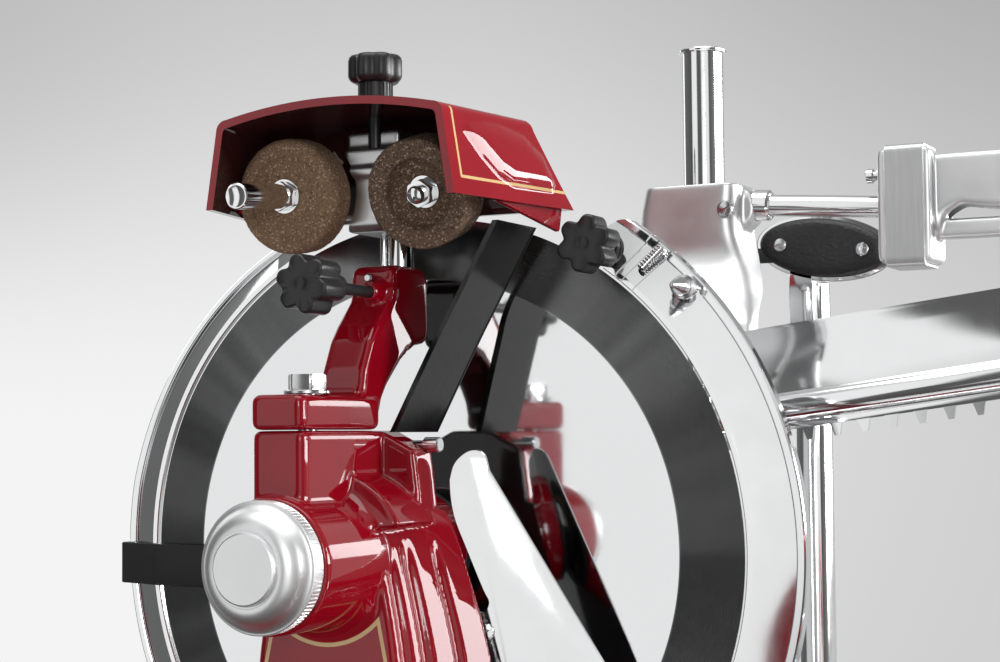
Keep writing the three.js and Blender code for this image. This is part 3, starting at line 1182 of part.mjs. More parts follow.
function makeTable() {
  const t = table;
  const deck = slab(roundedRect(t.left, t.right, t.front, t.back, t.corner), t.bottom, t.top, 'z', t.round);
  const fence = box(t.right - t.corner - t.fenceThickness, t.right - t.corner, t.front + t.corner,
    t.back - t.corner, t.bottom + t.round, t.top + t.fence);
  const gap = t.bottom - carriage.top;
  const ribs = [feed.x - carriage.guideX, feed.x + carriage.guideX].map((x) => box(
    x - carriage.guideHalf + fit.running, x + carriage.guideHalf - fit.running,
    t.front + t.corner, t.back - t.corner, t.bottom - gap - t.ribHeight + fit.running, t.bottom + t.round));
  const nut = box(feed.x - t.nutHalf, feed.x + t.nutHalf, t.nutY, t.nutY + t.nutLength,
    feed.z - t.nutDrop, t.bottom + t.round);
  const bore = shifted(runningBore(feed.radius, t.nutY - fit.overrun, t.nutY + t.nutLength
    + fit.overrun, 'y'), feed.x, 0, feed.z);
  part('meat_table', cut(join(deck, fence, ...ribs, nut), bore), 'polishedSteel');
}

function makeFeed() {
  const f = feed;
  const group = groupAt(f.x, 0, f.z);
  const wheel = turned([
    [0, f.wheelFront], [f.wheelHub, f.wheelFront], [f.wheelRadius * 0.9, f.wheelFront + fit.overrun / 2],
    [f.wheelRadius, f.wheelFront + fit.overrun], [f.wheelRadius, f.wheelBack - fit.overrun / 2],
    [f.wheelRadius * 0.85, f.wheelBack], [0, f.wheelBack],
  ], 'y');
  const holes = Array.from({ length: 5 }, (_, i) => {
    const angle = (i / 5) * 2 * Math.PI;
    return shifted(drum(f.wheelHole, f.wheelFront - fit.overrun, f.wheelBack + fit.overrun, 'y', facets.small),
      f.wheelHoleRing * Math.cos(angle), 0, f.wheelHoleRing * Math.sin(angle));
  });
  const screw = drum(f.radius, f.front, f.wheelBack - fit.overrun, 'y');
  part('feed_screw', join(cut(wheel, ...holes), screw), 'polishedSteel', group);
}

function makeDial() {
  const d = dial;
  const face = carriage.right + fit.seat;
  const group = groupAt(face, d.y, d.z);
  const plate = turned([
    [0, 0], [d.radius, 0], [d.radius, d.thickness * 0.6], [d.radius - d.thickness * 0.4, d.thickness],
    [0, d.thickness],
  ], 'x');
  const grip = slab(lobed(d.knobRadius, d.knobRadius * 0.06, 6), d.thickness - fit.weld,
    d.thickness + d.knobLength, 'x', fit.weld * 2);
  const stem = drum(d.gripRadius / 2, -carriage.bushLength / 4, fit.weld, 'x', facets.small);
  part('thickness_dial', join(plate, grip, stem), 'satinCap', group);
}

// Posts and meat clamp

function makePosts() {
  const p = frontPost;
  const foot = table.top + fit.seat;
  const front = groupAt(p.x, p.y, foot);
  const top = p.top - foot;
  part('post_front', turned([
    [0, 0], [p.collarRadius, 0], [p.collarRadius, p.collarHeight * 0.6], [p.radius, p.collarHeight],
    [p.radius, top], [p.capRadius, top], [p.capRadius, top + p.capHeight * 0.5],
    [p.capRadius * 0.6, top + p.capHeight], [0, top + p.crown],
  ], 'z'), 'polishedSteel', front);
  const r = rearPost;
  const rear = groupAt(r.x, r.y, foot);
  part('post_rear', turned([
    [0, 0], [r.collarRadius, 0], [r.collarRadius, r.collarHeight * 0.6], [r.radius, r.collarHeight],
    [r.radius, r.top - foot], [0, r.top - foot],
  ], 'z'), 'polishedSteel', rear);
}

function makeClampBracket() {
  const c = clampBracket;
  const group = groupAt(frontPost.x, frontPost.y, 0);
  const rings = c.sections.map(([z, x, y, half, depth]) => levelRing(
    roundedRect(x - half, x + half, y - depth, y + depth, Math.min(c.corner, half * 0.8, depth * 0.8)), z));
  const sleeve = drum(c.sleeveRadius, c.sleeveBottom, c.top, 'z');
  const knuckle = shifted(slab(circle(c.knuckleRadius, facets.small), -c.knuckleHalf, c.knuckleHalf, 'y',
    fit.weld * 2), c.knuckleX - c.knuckleRadius * 0.7, 0, c.knuckleZ);
  const postBore = drum(frontPost.radius + fit.running, c.bottom - fit.overrun, c.top + fit.overrun, 'z');
  const bar = clampBarMatrix();
  bar.premultiply(new THREE.Matrix4().makeTranslation(-frontPost.x, -frontPost.y, 0));
  const barBore = drum(clampBar.radius + fit.running, -fit.overrun * 2, clampBar.length, 'x')
    .transform(bar.toArray());
  const neckBore = drum(clampBar.neckRadius + fit.running, -fit.seat, clampBar.length, 'x')
    .transform(bar.toArray());
  part('clamp_bracket', cut(join(loft(rings.reverse()), sleeve, knuckle), postBore, barBore, neckBore),
    'castAluminium', group);
}

function clampBarMatrix() {
  const matrix = new THREE.Matrix4().makeRotationY(-THREE.MathUtils.degToRad(clampBar.slope));
  return matrix.setPosition(clampBar.startX, frontPost.y, clampBar.z);
}

function makeClampBar() {
  const b = clampBar;
  const group = groupAt(b.startX, frontPost.y, b.z);
  group.rotation.y = -THREE.MathUtils.degToRad(b.slope);
  part('clamp_bar', turned([
    [0, 0], [b.neckRadius, 0], [b.neckRadius, b.neck], [b.radius, b.neck], [b.radius, b.length], [0, b.length],
  ], 'x'), 'polishedSteel', group);
}

function makeClampBlock() {
  const b = clampBlock;
  const body = slab(roundedRect(b.left, b.right, b.bottom, b.top, b.corner), b.front, b.back, 'y', fit.weld * 2);
  const steps = Array.from({ length: facets.corner + 1 }, (_, i) => {
    const angle = (Math.PI / 2) * (i / facets.corner);
    return [b.right + b.fillet * (1 - Math.cos(angle)), b.armBottom + b.fillet * (1 - Math.sin(angle)) - b.fillet
      + b.fillet * 0.2];
  });
  const arm = slab([
    [b.right - b.corner, b.armTop], [b.right - b.corner, b.armBottom], ...steps.slice(-1),
    [b.armRight, b.armBottom], [b.armRight, b.armTop],
  ], b.armFront, b.armBack, 'y', fit.weld * 2);
  const bar = slab(roundedRect(b.right - b.corner, b.armRight, b.barBottom, b.barTop, b.corner),
    b.barFront, b.barBack, 'y', fit.weld * 2);
  const web = box(b.armRight - b.fillet, b.armRight - fit.weld * 2, b.barFront + fit.weld * 2,
    b.barBack - fit.weld * 2, b.barBottom + b.corner, b.armBottom + b.corner);
  const bore = drum(clampBar.radius + fit.running, 0, clampBar.length + fit.overrun * 3, 'x')
    .transform(clampBarMatrix().toArray());
  const plungerBore = shifted(drum(plunger.stemRadius + fit.running, b.left - fit.overrun,
    b.left + plunger.stem + fit.seat, 'x', facets.small), 0, frontPost.y, plunger.z);
  part('clamp_block', cut(join(body, arm, bar, web), bore, plungerBore), 'castAluminium');
}

function makeClampStrap() {
  const b = clampBlock;
  const s = clampStrap;
  const [front, low, high] = [b.front - s.gap, b.bottom - s.gap, b.top + s.gap];
  const t = s.thickness;
  part('clamp_strap', slab([
    [front + s.depth, high], [front + s.depth, high + t], [front - t, high + t], [front - t, low - t],
    [front + s.depth, low - t], [front + s.depth, low], [front, low], [front, high],
  ], s.left, s.right, 'x'), 'brushedSteel');
}

function makePlunger() {
  const p = plunger;
  const group = groupAt(0, frontPost.y, p.z);
  const middle = (p.left + p.right) / 2;
  part('plunger_pin', turned([
    [0, p.left], [p.radius, p.left], [p.radius, middle], [p.waistRadius, middle], [p.waistRadius, p.right],
    [p.stemRadius, p.right], [p.stemRadius, clampBlock.left + p.stem], [0, clampBlock.left + p.stem],
  ], 'x', facets.small), 'polishedSteel', group);
}

function pressMatrix() {
  const matrix = new THREE.Matrix4().makeRotationY(-THREE.MathUtils.degToRad(press.slope));
  return matrix.setPosition(press.x, press.y, press.z);
}

function pressGroup() {
  const group = groupAt(press.x, press.y, press.z);
  group.rotation.y = -THREE.MathUtils.degToRad(press.slope);
  return group;
}

function makePress() {
  const p = press;
  const group = pressGroup();
  const steps = 5;
  const face = Array.from({ length: steps + 1 }, (_, i) => {
    const share = i / steps;
    const bow = p.faceBow * Math.sin(share * Math.PI);
    return [p.faceLean * share + bow, p.beadRadius * 0.6 + (p.faceTop - p.beadRadius * 0.6) * share];
  });
  const sheet = [...face, ...face.map(([y, z]) => [y + p.sheet, z]).reverse()];
  const bead = circle(p.beadRadius, facets.barrel, p.sheet / 2, p.beadZ);
  const body = join(slab(sheet, p.left, p.right, 'x'), slab(bead, p.left, p.right, 'x'));
  // Rib from the plate's back to the foot of the bracket.
  const last = clampBracket.sections.at(-1);
  const rib = box(p.gussetX - p.gussetWidth / 2, p.gussetX + p.gussetWidth / 2, p.sheet,
    frontPost.y + last[2] - p.y - last[4] - fit.seat, 0, p.faceTop - p.faceLean);
  part('press_plate', join(body, rib), 'polishedSteel', group);
}

function makeTeeth() {
  const t = teeth;
  const group = pressGroup();
  const top = -press.beadRadius - fit.seat;
  const low = top - (t.strip - t.height);
  const start = press.left + t.pitch / 2;
  const points = [[start - t.pitch / 2, top], [start - t.pitch / 2, low]];
  for (let i = 0; i < t.count; i += 1) {
    const x = start + i * t.pitch;
    points.push([x - t.half, low], [x - t.tipHalf, low - t.height], [x + t.tipHalf, low - t.height],
      [x + t.half, low]);
  }
  const end = start + t.count * t.pitch - t.pitch / 2;
  points.push([end, low], [end, top]);
  part('tooth_strip', slab(points, 0, t.thickness, 'y'), 'polishedSteel', group);
}

function oval(length, height, count) {
  return Array.from({ length: count }, (_, i) => {
    const angle = (i / count) * 2 * Math.PI;
    return [(length / 2) * Math.cos(angle), (height / 2) * Math.sin(angle)
      - (length / 2) * Math.cos(angle) * lever.tiltShare];
  });
}

function makeLever() {
  const l = lever;
  const group = groupAt(l.centreX, l.frontY, l.centreZ);
  const plate = slab(oval(l.length, l.height, facets.round), 0, l.plate, 'y');
  const [x, y] = [rearPost.x - l.centreX, rearPost.y - l.frontY];
  const [low, high] = [l.hubBottom - l.centreZ, l.hubTop - l.centreZ];
  const hub = shifted(drum(l.hubRadius, low, high, 'z'), x, y, 0);
  const stalk = box(x - l.stalkWidth / 2, x + l.stalkWidth / 2, 0, l.plate, low, 0);
  const link = box(x - l.stalkWidth / 2, x + l.stalkWidth / 2, 0, y, low, high);
  const bore = shifted(runningBore(rearPost.radius, low - fit.overrun, high + fit.overrun, 'z'), x, y, 0);
  part('clamp_lever', cut(join(plate, hub, stalk, link), bore), 'polishedSteel', group);
  const tab = slab(roundedRect(-l.gripLength / 2 - l.tabLength, 0, -l.tabHeight / 2 - l.plate,
    l.tabHeight / 2 - l.plate, l.tabHeight / 4), -fit.seat - l.gripThickness / 2, -fit.seat, 'y');
  const grip = slab(oval(l.gripLength, l.gripHeight, facets.round), -l.gripThickness - fit.seat, -fit.seat, 'y',
    l.gripThickness * 0.35);
  part('lever_grip', join(grip, tab), 'blackPlastic', group);
}

makeKnife();
makeKnifeShaft();
makeBearings();
makeColumn();
makeHubCap();
makeBase();
makeFeet();
makeRails();
makeGuard();
makeGuardArm();
makeGuardStay();
makeGuardKnob();
makeGuardPin();
makeDeflector();
makeBracket();
makeBracketBolt();
makeBracketKnob();
makeRods();
makeHood();
makeSharpenerBody();
makeSharpenerKnob();
makeStones();
const wheelGroup = groupAt(flywheel.x, 0, flywheel.z);
makeFlywheel(wheelGroup);
makeFlywheelShaft(wheelGroup);
makeCrank(wheelGroup);
makePedestal(wheelGroup);
makeDriveShafts();
makeTray();
makeCarriage();
makeTable();
makeFeed();
makeDial();
makePosts();
makeClampBracket();
makeClampBar();
makeClampBlock();
makeClampStrap();
makePlunger();
makePress();
makeTeeth();
makeLever();

// The origin is on the ground, under the middle of the whole machine.
machine.updateMatrixWorld(true);
const reach = new THREE.Box3().setFromObject(machine, true);
const middle = reach.getCenter(new THREE.Vector3());
machine.position.set(-middle.x, -middle.y, -reach.min.z);

export default machine;
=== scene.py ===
import math
import random

import bmesh
import bpy
from mathutils import Matrix, Vector


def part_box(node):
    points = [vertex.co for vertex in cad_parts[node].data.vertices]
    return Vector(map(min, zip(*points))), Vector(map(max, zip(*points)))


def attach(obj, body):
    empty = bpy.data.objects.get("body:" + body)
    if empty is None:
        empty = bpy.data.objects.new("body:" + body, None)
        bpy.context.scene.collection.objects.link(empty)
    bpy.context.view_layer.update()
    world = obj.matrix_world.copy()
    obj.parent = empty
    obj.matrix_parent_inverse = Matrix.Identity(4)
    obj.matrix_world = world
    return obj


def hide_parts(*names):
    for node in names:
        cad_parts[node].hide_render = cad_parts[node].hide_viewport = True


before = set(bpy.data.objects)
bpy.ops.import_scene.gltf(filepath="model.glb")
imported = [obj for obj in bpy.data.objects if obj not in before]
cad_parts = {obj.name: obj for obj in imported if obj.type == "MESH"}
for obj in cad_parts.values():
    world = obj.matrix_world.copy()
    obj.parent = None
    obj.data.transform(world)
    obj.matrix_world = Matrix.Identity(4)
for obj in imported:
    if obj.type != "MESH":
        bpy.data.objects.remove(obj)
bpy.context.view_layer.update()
mm = 0.001
tau = 2 * math.pi

# Places below are millimetres from the middle of the knife: X to the flywheel, Y to the meat, Z up.
knifeFace = 4
knifeLow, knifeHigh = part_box("knife")
datum = Vector(((knifeLow.x + knifeHigh.x) / 2, knifeLow.y + knifeFace * mm, (knifeLow.z + knifeHigh.z) / 2))


def show(name, data):  # a new object in the scene
    made = bpy.data.objects.new(name, data)
    bpy.context.scene.collection.objects.link(made)
    return made


# Shader graphs

class Wire:  # one output socket, with arithmetic on values
    def __init__(self, graph, socket):
        self.graph = graph
        self.socket = socket


for sign, operation in (("add", "ADD"), ("mul", "MULTIPLY"), ("sub", "SUBTRACT"), ("truediv", "DIVIDE")):
    setattr(Wire, f"__{sign}__", lambda self, other, kind=operation: self.graph.maths(kind, self, other))
    setattr(Wire, f"__r{sign}__", lambda self, other, kind=operation: self.graph.maths(kind, other, self))


class Graph:
    def __init__(self, tree):
        self.tree = tree

    def node(self, kind, settings=None, out=0, **sockets):
        made = self.tree.nodes.new(kind)
        for name, value in (settings or {}).items():
            if name == "stops":
                self.setStops(made.color_ramp, value)
            else:
                setattr(made, name, value)
        for name, value in sockets.items():
            self.put(made.inputs[name.replace("_", " ")], value)
        return Wire(self, made.outputs[out])

    def put(self, socket, value):
        if isinstance(value, Wire):
            self.tree.links.new(value.socket, socket)
        elif value is not None:
            socket.default_value = value

    def setStops(self, ramp, stops):
        while len(ramp.elements) < len(stops):
            ramp.elements.new(0.5)
        for element, (place, shade) in zip(ramp.elements, stops):
            element.position = place
            element.color = (shade, shade, shade, 1)

    def maths(self, operation, *values):
        made = self.tree.nodes.new("ShaderNodeMath")
        made.operation = operation
        for socket, value in zip(made.inputs, values):
            self.put(socket, value)
        return Wire(self, made.outputs[0])

    def step(self, value, start, end):  # 0 at start, 1 at end, smooth between
        return self.node("ShaderNodeMapRange", {"interpolation_type": "SMOOTHSTEP"}, Value=value,
                         From_Min=start, From_Max=end)

    def line(self, value, half, soft=0.15):  # 1 where the value is near 0
        return 1 - self.step(self.maths("ABSOLUTE", value), half, half + soft)

    def blend(self, factor, first, second):  # colours
        made = self.tree.nodes.new("ShaderNodeMix")
        made.data_type = "RGBA"
        for i, value in ((0, factor), (6, first), (7, second)):
            self.put(made.inputs[i], (*value, 1) if isinstance(value, tuple) else value)
        return Wire(self, made.outputs[2])

    def places(self, scale=None):  # object coordinates, stretched where a scale is given
        coordinates = self.node("ShaderNodeTexCoord", out=3)
        return self.node("ShaderNodeMapping", Vector=coordinates, Scale=scale) if scale else coordinates

    def noise(self, scale, detail=2, rough=0.5, stretch=None):
        return self.node("ShaderNodeTexNoise", Vector=self.places(stretch), Scale=scale, Detail=detail,
                         Roughness=rough)

    def streaks(self, value, detail):  # noise along one value
        return self.node("ShaderNodeTexNoise", {"noise_dimensions": "1D"}, W=value, Scale=1, Detail=detail)

    def cloud(self, scale, detail, low, high, rough=0.5):
        return self.step(self.noise(scale, detail, rough), low, high)

    def parts(self, vector):
        return [self.node("ShaderNodeSeparateXYZ", out=i, Vector=vector) for i in range(3)]

    def axes(self):  # millimetres from the knife's middle, as three values
        return [(value - datum[i]) / mm for i, value in enumerate(self.parts(self.places()))]

    def facing(self):  # the surface's own direction, as three values
        return self.parts(self.node("ShaderNodeNewGeometry", out=1))

    def length(self, a, b):
        return self.maths("SQRT", a * a + b * b)

    def most(self, *values):
        top = values[0]
        for value in values[1:]:
            top = self.maths("MAXIMUM", top, value)
        return top

    def surface(self, colour, rough, height, strength, distance=0.0001):
        normal = self.node("ShaderNodeBump", Height=height, Strength=strength, Distance=distance)
        return {"Base Color": colour, "Roughness": rough, "Normal": normal}


# Finishes

def grey(tone):  # a cool steel grey
    return (tone, tone + 0.005, tone + 0.01)


enamelTone = {
    "deep": (0.235, 0.0016, 0.008), "light": (0.285, 0.0022, 0.011), "gold": (0.62, 0.43, 0.20),
    # the colour of painted shade
    "shade": (0.020, 0.012, 0.012),
}


def enamelCoat(g, gold, shade):  # red stove enamel, its orange peel and dust, gold lines and painted shade on backs and insides
    colour = g.blend(g.cloud(18, 3, 0.35, 0.65), enamelTone["deep"], enamelTone["light"])
    rough = g.cloud(45, 4, 0.3, 0.8) * 0.05 + 0.05 + g.cloud(700, 2, 0.66, 0.74) * 0.1
    if gold is not None:
        colour = g.blend(gold, colour, enamelTone["gold"])
        rough = rough + gold * 0.12
    # painted shade: the shade mask blends the enamel towards the dark shade colour
    return g.surface(g.blend(shade, colour, enamelTone["shade"]), rough, g.noise(260), 0.02, 0.0004)


def towardKnife(g):  # painted shade: the backs that face the knife, which only the knife's mirror shows, are painted dark
    x, y, z = g.axes()
    return g.step(g.facing()[1], 0.35, 0.6) * (1 - g.step(y, -8, -4)) * (1 - g.step(x, 110, 130))


def redEnamel(g):
    return enamelCoat(g, None, towardKnife(g))


hoodSize = {
    "front": -90, "back": -8, "bottom": 149, "side": 187.5, "crown": 193, "frontLow": 60.5, "frontHigh": 54.5,
    "backLow": 76.5, "backHigh": 66.5, "wall": 3.4, "corner": 5, "backTop": -30,
}
hoodLine = {"fromFront": 6.5, "aboveEdge": 7.5, "half": 0.55, "sideFacing": 0.75, "mouth": 12}


def hoodEnamel(g):  # gold lines run along the front and lower edges of the hood's sides, and the hood's inner faces get painted shade
    x, y, z = g.axes()
    turn = g.facing()
    half = hoodLine["half"]
    fromFront = y - (hoodSize["front"] + hoodLine["fromFront"])
    aboveEdge = z - (hoodSize["bottom"] + hoodLine["aboveEdge"])
    front = g.line(fromFront, half) * g.step(aboveEdge, -half, 0)
    edge = g.line(aboveEdge, half) * g.step(fromFront, -half, 0)
    outward = turn[0] * g.maths("SIGN", x)
    side = g.step(outward, hoodLine["sideFacing"], hoodLine["sideFacing"] + 0.05)
    mouth = hoodSize["front"] + hoodLine["mouth"]
    rear = (1 - g.step(turn[1], -0.75, -0.45)) * g.step(y, mouth, mouth + 8)
    # painted shade on faces turned inward, downward, or to the front behind the mouth
    inside = g.most(1 - g.step(outward, -0.45, -0.2), 1 - g.step(turn[2], -0.75, -0.45), rear)
    return enamelCoat(g, g.most(front, edge) * side, inside * 0.9)


panelLine = {"arc": 34.5, "topHalf": 24.5, "flare": 0.21, "topZ": -22, "half": 0.75, "lowest": -158}


def columnEnamel(g):  # a gold line frames the lower front, curved under the barrel
    x, y, z = g.axes()
    p = panelLine
    inside = (p["topZ"] - z) * p["flare"] + p["topHalf"] - g.maths("ABSOLUTE", x)
    under = g.length(x, z) - p["arc"]
    depth = g.maths("MINIMUM", g.maths("MINIMUM", inside, under), z - p["lowest"])
    front = 1 - g.step(g.facing()[1], -0.6, -0.5)
    below = 1 - g.step(z, p["topZ"] + 1, p["topZ"] + 2)
    return enamelCoat(g, g.line(depth, p["half"], 0.2) * front * below, towardKnife(g))


def brightSteel(g, tone, low, high, scratch):
    smudge = g.cloud(35, 4, 0.3, 0.75, 0.6)
    scratches = g.noise(500, stretch=(1, 1, 0.06))
    colour = g.blend(smudge, tuple(c * 0.96 for c in grey(tone)), grey(tone))
    return g.surface(colour, smudge * (high - low) + low + scratches * 0.02, scratches, scratch)


def polishedSteel(g):
    return brightSteel(g, 0.78, 0.05, 0.11, 0.015)


def machinedSteel(g):
    return brightSteel(g, 0.60, 0.16, 0.26, 0.06)


def satinSteel(g):  # the hub cap's fine turned satin
    x, y, z = g.axes()
    lines = g.streaks(g.length(x, z) * 9, 2)
    rough = g.noise(60, 3) * 0.06 + 0.35 + lines * 0.04
    return g.surface(g.blend(g.noise(25, 3), grey(0.82), grey(0.90)), rough, lines, 0.04)


def brushedSteel(g):
    strokes = g.noise(900, 3, 0.6, (1, 0.05, 0.05))
    return g.surface(g.blend(strokes, grey(0.50), grey(0.66)), g.noise(40, 3) * 0.1 + 0.26 + strokes * 0.1,
                     strokes, 0.12)


def darkSteel(g):  # the deflector's arm: brushed along its length, its colour painted near black for the dark things its front face reflects
    strokes = g.noise(700, 3, 0.6, (1, 1, 0.04))
    # painted reflection: near-black tones in place of the dark reflections of a smooth face
    return g.surface(g.blend(strokes, (0.012, 0.012, 0.013), (0.06, 0.06, 0.062)), strokes * 0.12 + 0.16,
                     strokes, 0.1)


knifeShape = {"bore": 12.8, "bevel": 122.3, "edge": 150, "half": 0.25, "back": 3, "backBevel": 116}


def bladeSteel(g):  # mirror face, and a bevel ground across its width, its brushed colour painted dark with painted highlight sectors by angle
    x, y, z = g.axes()
    ring = g.length(x, z)
    angle = g.maths("ARCTAN2", z, x)
    ground = g.step(ring, knifeShape["bevel"] - 0.6, knifeShape["bevel"]) * (1 - g.step(y, 0, 1))
    swirl = g.node("ShaderNodeCombineXYZ", X=angle * 9 + ring * 0.01, Y=ring * 1.7)
    strokes = g.node("ShaderNodeTexNoise", Vector=swirl, Scale=2.2, Detail=5, Roughness=0.7)
    patches = g.cloud(14, 3, 0.3, 0.75, 0.6)
    mirror = g.cloud(22, 4, 0.35, 0.75, 0.6) * 0.03 + 0.035 + g.streaks(ring * 3, 3) * 0.012
    # painted reflection: the bevel's brushed grain takes tones painted dark for the dark things it reflects
    shade = g.blend(strokes, (0.05, 0.051, 0.052), (0.24, 0.242, 0.245))
    # painted highlights: lighter sectors round the knife, chosen by angle
    shade = g.blend(g.step(g.streaks(angle * 2.6, 3), 0.4, 0.66) * 0.6, shade, (0.36, 0.364, 0.368))
    shade = g.blend(patches * 0.3, shade, (0.11, 0.111, 0.113))
    rough = mirror + ground * (strokes * 0.10 + patches * 0.06 + 0.12)
    return g.surface(g.blend(ground, grey(0.73), shade), rough, strokes * ground, 0.07)


def castAluminium(g):
    cloud = g.cloud(40, 3, 0.3, 0.7)
    colour = g.blend(cloud, grey(0.50), grey(0.64))
    return g.surface(colour, cloud * 0.1 + 0.3, g.noise(420, 3, 0.6), 0.16, 0.0003)


def polishedCasting(g):  # a cast shape buffed by hand, so its shine waves a little
    cloud = g.cloud(30, 4, 0.3, 0.75)
    return g.surface(g.blend(cloud, grey(0.66), grey(0.78)), cloud * 0.1 + 0.36, g.noise(55, 3), 0.14, 0.0012)


def blackPlastic(g):
    cloud = g.cloud(30, 3, 0.35, 0.7)
    return g.surface(g.blend(cloud, (0.010, 0.010, 0.011), (0.020, 0.020, 0.021)), cloud * 0.1 + 0.33,
                     g.noise(900, 2, 0.6), 0.12)


def pebbledGrip(g):  # leather-like pebbles moulded into the lever's grip
    cells = g.node("ShaderNodeTexVoronoi", {"feature": "SMOOTH_F1"}, Vector=g.places(), Scale=620)
    colour = g.blend(g.noise(40, 3), (0.008, 0.008, 0.009), (0.018, 0.018, 0.019))
    return g.surface(colour, cells * 0.25 + 0.3, cells, 0.6, -0.0004)


def blackStrap(g):
    grain = g.noise(500, 3, 0.6, (0.15, 1, 1))
    colour = g.blend(g.noise(25, 3), (0.010, 0.010, 0.011), (0.022, 0.022, 0.023))
    return g.surface(colour, grain * 0.15 + 0.32, grain, 0.1)


def stoneGrit(g, low, high, dark):  # bonded grit: coarse grains, painted shade in its pores and a painted sheen on its lightest grains
    grains = g.node("ShaderNodeTexVoronoi", {"feature": "F1"}, out=1, Vector=g.places(), Scale=1500)
    tint = g.node("ShaderNodeSeparateColor", Color=grains)
    pores = g.cloud(900, 3, 0.56, 0.66, 0.7)
    colour = g.blend(tint, low, high)
    colour = g.blend(g.cloud(60, 3, 0.3, 0.7) * 0.35, colour, tuple(c * 0.8 for c in high))
    # painted shade in the pores
    colour = g.blend(pores * dark, colour, (0.03, 0.018, 0.012))
    # painted sheen: the lightest grains blended towards a pale tan
    colour = g.blend(g.step(tint, 0.90, 0.94) * 0.6, colour, (0.55, 0.42, 0.32))
    return g.surface(colour, tint * 0.15 + 0.8, tint + pores * -1.2, 0.7, 0.0003)


def tanStone(g):
    return stoneGrit(g, (0.17, 0.095, 0.052), (0.30, 0.185, 0.105), 0.6)


def brownStone(g):
    return stoneGrit(g, (0.075, 0.042, 0.026), (0.20, 0.125, 0.08), 0.95)


def bronze(g):
    cloud = g.cloud(60, 3, 0.3, 0.7)
    colour = g.blend(cloud, (0.42, 0.24, 0.09), (0.55, 0.34, 0.14))
    return g.surface(colour, cloud * 0.12 + 0.28, g.noise(300), 0.08, 0.0002)


def rubber(g):
    grain = g.noise(700, 3, 0.6)
    colour = g.blend(g.noise(30, 3), (0.010, 0.010, 0.010), (0.022, 0.021, 0.020))
    return g.surface(colour, grain * 0.15 + 0.65, grain, 0.25, 0.0002)


enamel = {"Coat Weight": 1.0, "Coat Roughness": 0.02, "Coat IOR": 1.5, "Specular IOR Level": 0.0}
metal = {"Metallic": 1}
plastic = {"IOR": 1.48}
strap = {"IOR": 1.5}
looks = {}
slotOf = {}  # the CAD material that each finish stands for
for paint, slot, fixed in (
    (redEnamel, "red_enamel", enamel),
    (hoodEnamel, "red_enamel", enamel),
    (columnEnamel, "red_enamel", enamel),
    (polishedSteel, "polished_steel", metal),
    (machinedSteel, "machined_steel", metal),
    (satinSteel, "satin_cap", metal),
    (brushedSteel, "brushed_steel", metal),
    (darkSteel, "brushed_steel", metal),
    (bladeSteel, "knife_steel", metal),
    (castAluminium, "cast_aluminium", metal),
    (polishedCasting, "cast_aluminium", metal),
    (blackPlastic, "black_plastic", plastic),
    (pebbledGrip, "black_plastic", plastic),
    (blackStrap, "black_strap", strap),
    (tanStone, "grinding_stone", {}),
    (brownStone, "grinding_stone", {}),
    (bronze, "bronze", metal),
    (rubber, "rubber", {}),
):
    material = bpy.data.materials.new(paint.__name__)
    material.use_nodes = True
    shader = material.node_tree.nodes["Principled BSDF"]
    for socketName, value in fixed.items():
        shader.inputs[socketName].default_value = value
    graph = Graph(material.node_tree)
    for socketName, value in paint(graph).items():
        graph.put(shader.inputs[socketName], value)
    looks[paint.__name__] = material
    slotOf[paint.__name__] = slot
print("finishes made:", len(looks))


# Forms

def rounded(points, radius, steps=4, closed=True):  # an outline or profile with its corners rounded
    out = []
    count = len(points)
    for i, point in enumerate(points):
        here = Vector(point[:2])
        cut = point[2] if len(point) > 2 else radius
        if cut <= 0 or (not closed and i in (0, count - 1)):
            out.append(tuple(here))
            continue
        inward = Vector(points[i - 1][:2]) - here
        outward = Vector(points[(i + 1) % count][:2]) - here
        bend = inward.angle(outward)
        reach = min(cut / math.tan(bend / 2), inward.length * 0.49, outward.length * 0.49)
        if bend > math.radians(172) or reach < 1e-4:
            out.append(tuple(here))
            continue
        first, last = here + inward.normalized() * reach, here + outward.normalized() * reach
        out += [curved(first, here, last, k / steps) for k in range(steps + 1)]
    return out


def curved(first, corner, last, share):  # a point on the curve that cuts a corner
    return tuple(first.lerp(corner, share).lerp(corner.lerp(last, share), share))


def circle(radius, count, x=0, y=0, start=0):
    return [(x + radius * math.cos(start + tau * i / count), y + radius * math.sin(start + tau * i / count))
            for i in range(count)]


def rectangle(left, right, low, high, radius, steps=6):
    return rounded([(left, low), (right, low), (right, high), (left, high)], radius, steps)


def lobedCircle(radius, depth, lobes, count, turn=0):
    out = []
    for i in range(count):
        angle = tau * i / count
        wave = (1 - math.cos((angle - turn) * lobes)) / 2
        r = radius - 2 * depth * wave ** 1.6
        out.append((r * math.cos(angle), r * math.sin(angle)))
    return out


def inBox(shares, left, right, low, high):  # an outline given in shares of a box
    return [(left + (right - left) * a, low + (high - low) * b) for a, b in shares]


def flowing(points, steps=5):  # a smooth curve through points of any number of values
    last = len(points) - 1
    out = []
    for i in range(last):
        near = [points[min(max(i + k, 0), last)] for k in (-1, 0, 1, 2)]
        for k in range(steps):
            t = k / steps
            weights = (-t + 2 * t ** 2 - t ** 3, 2 - 5 * t ** 2 + 3 * t ** 3, t + 4 * t ** 2 - 3 * t ** 3,
                       t ** 3 - t ** 2)
            out.append(tuple(sum(w * p[n] for w, p in zip(weights, near)) / 2 for n in range(len(points[0]))))
    return out + [tuple(points[-1])]


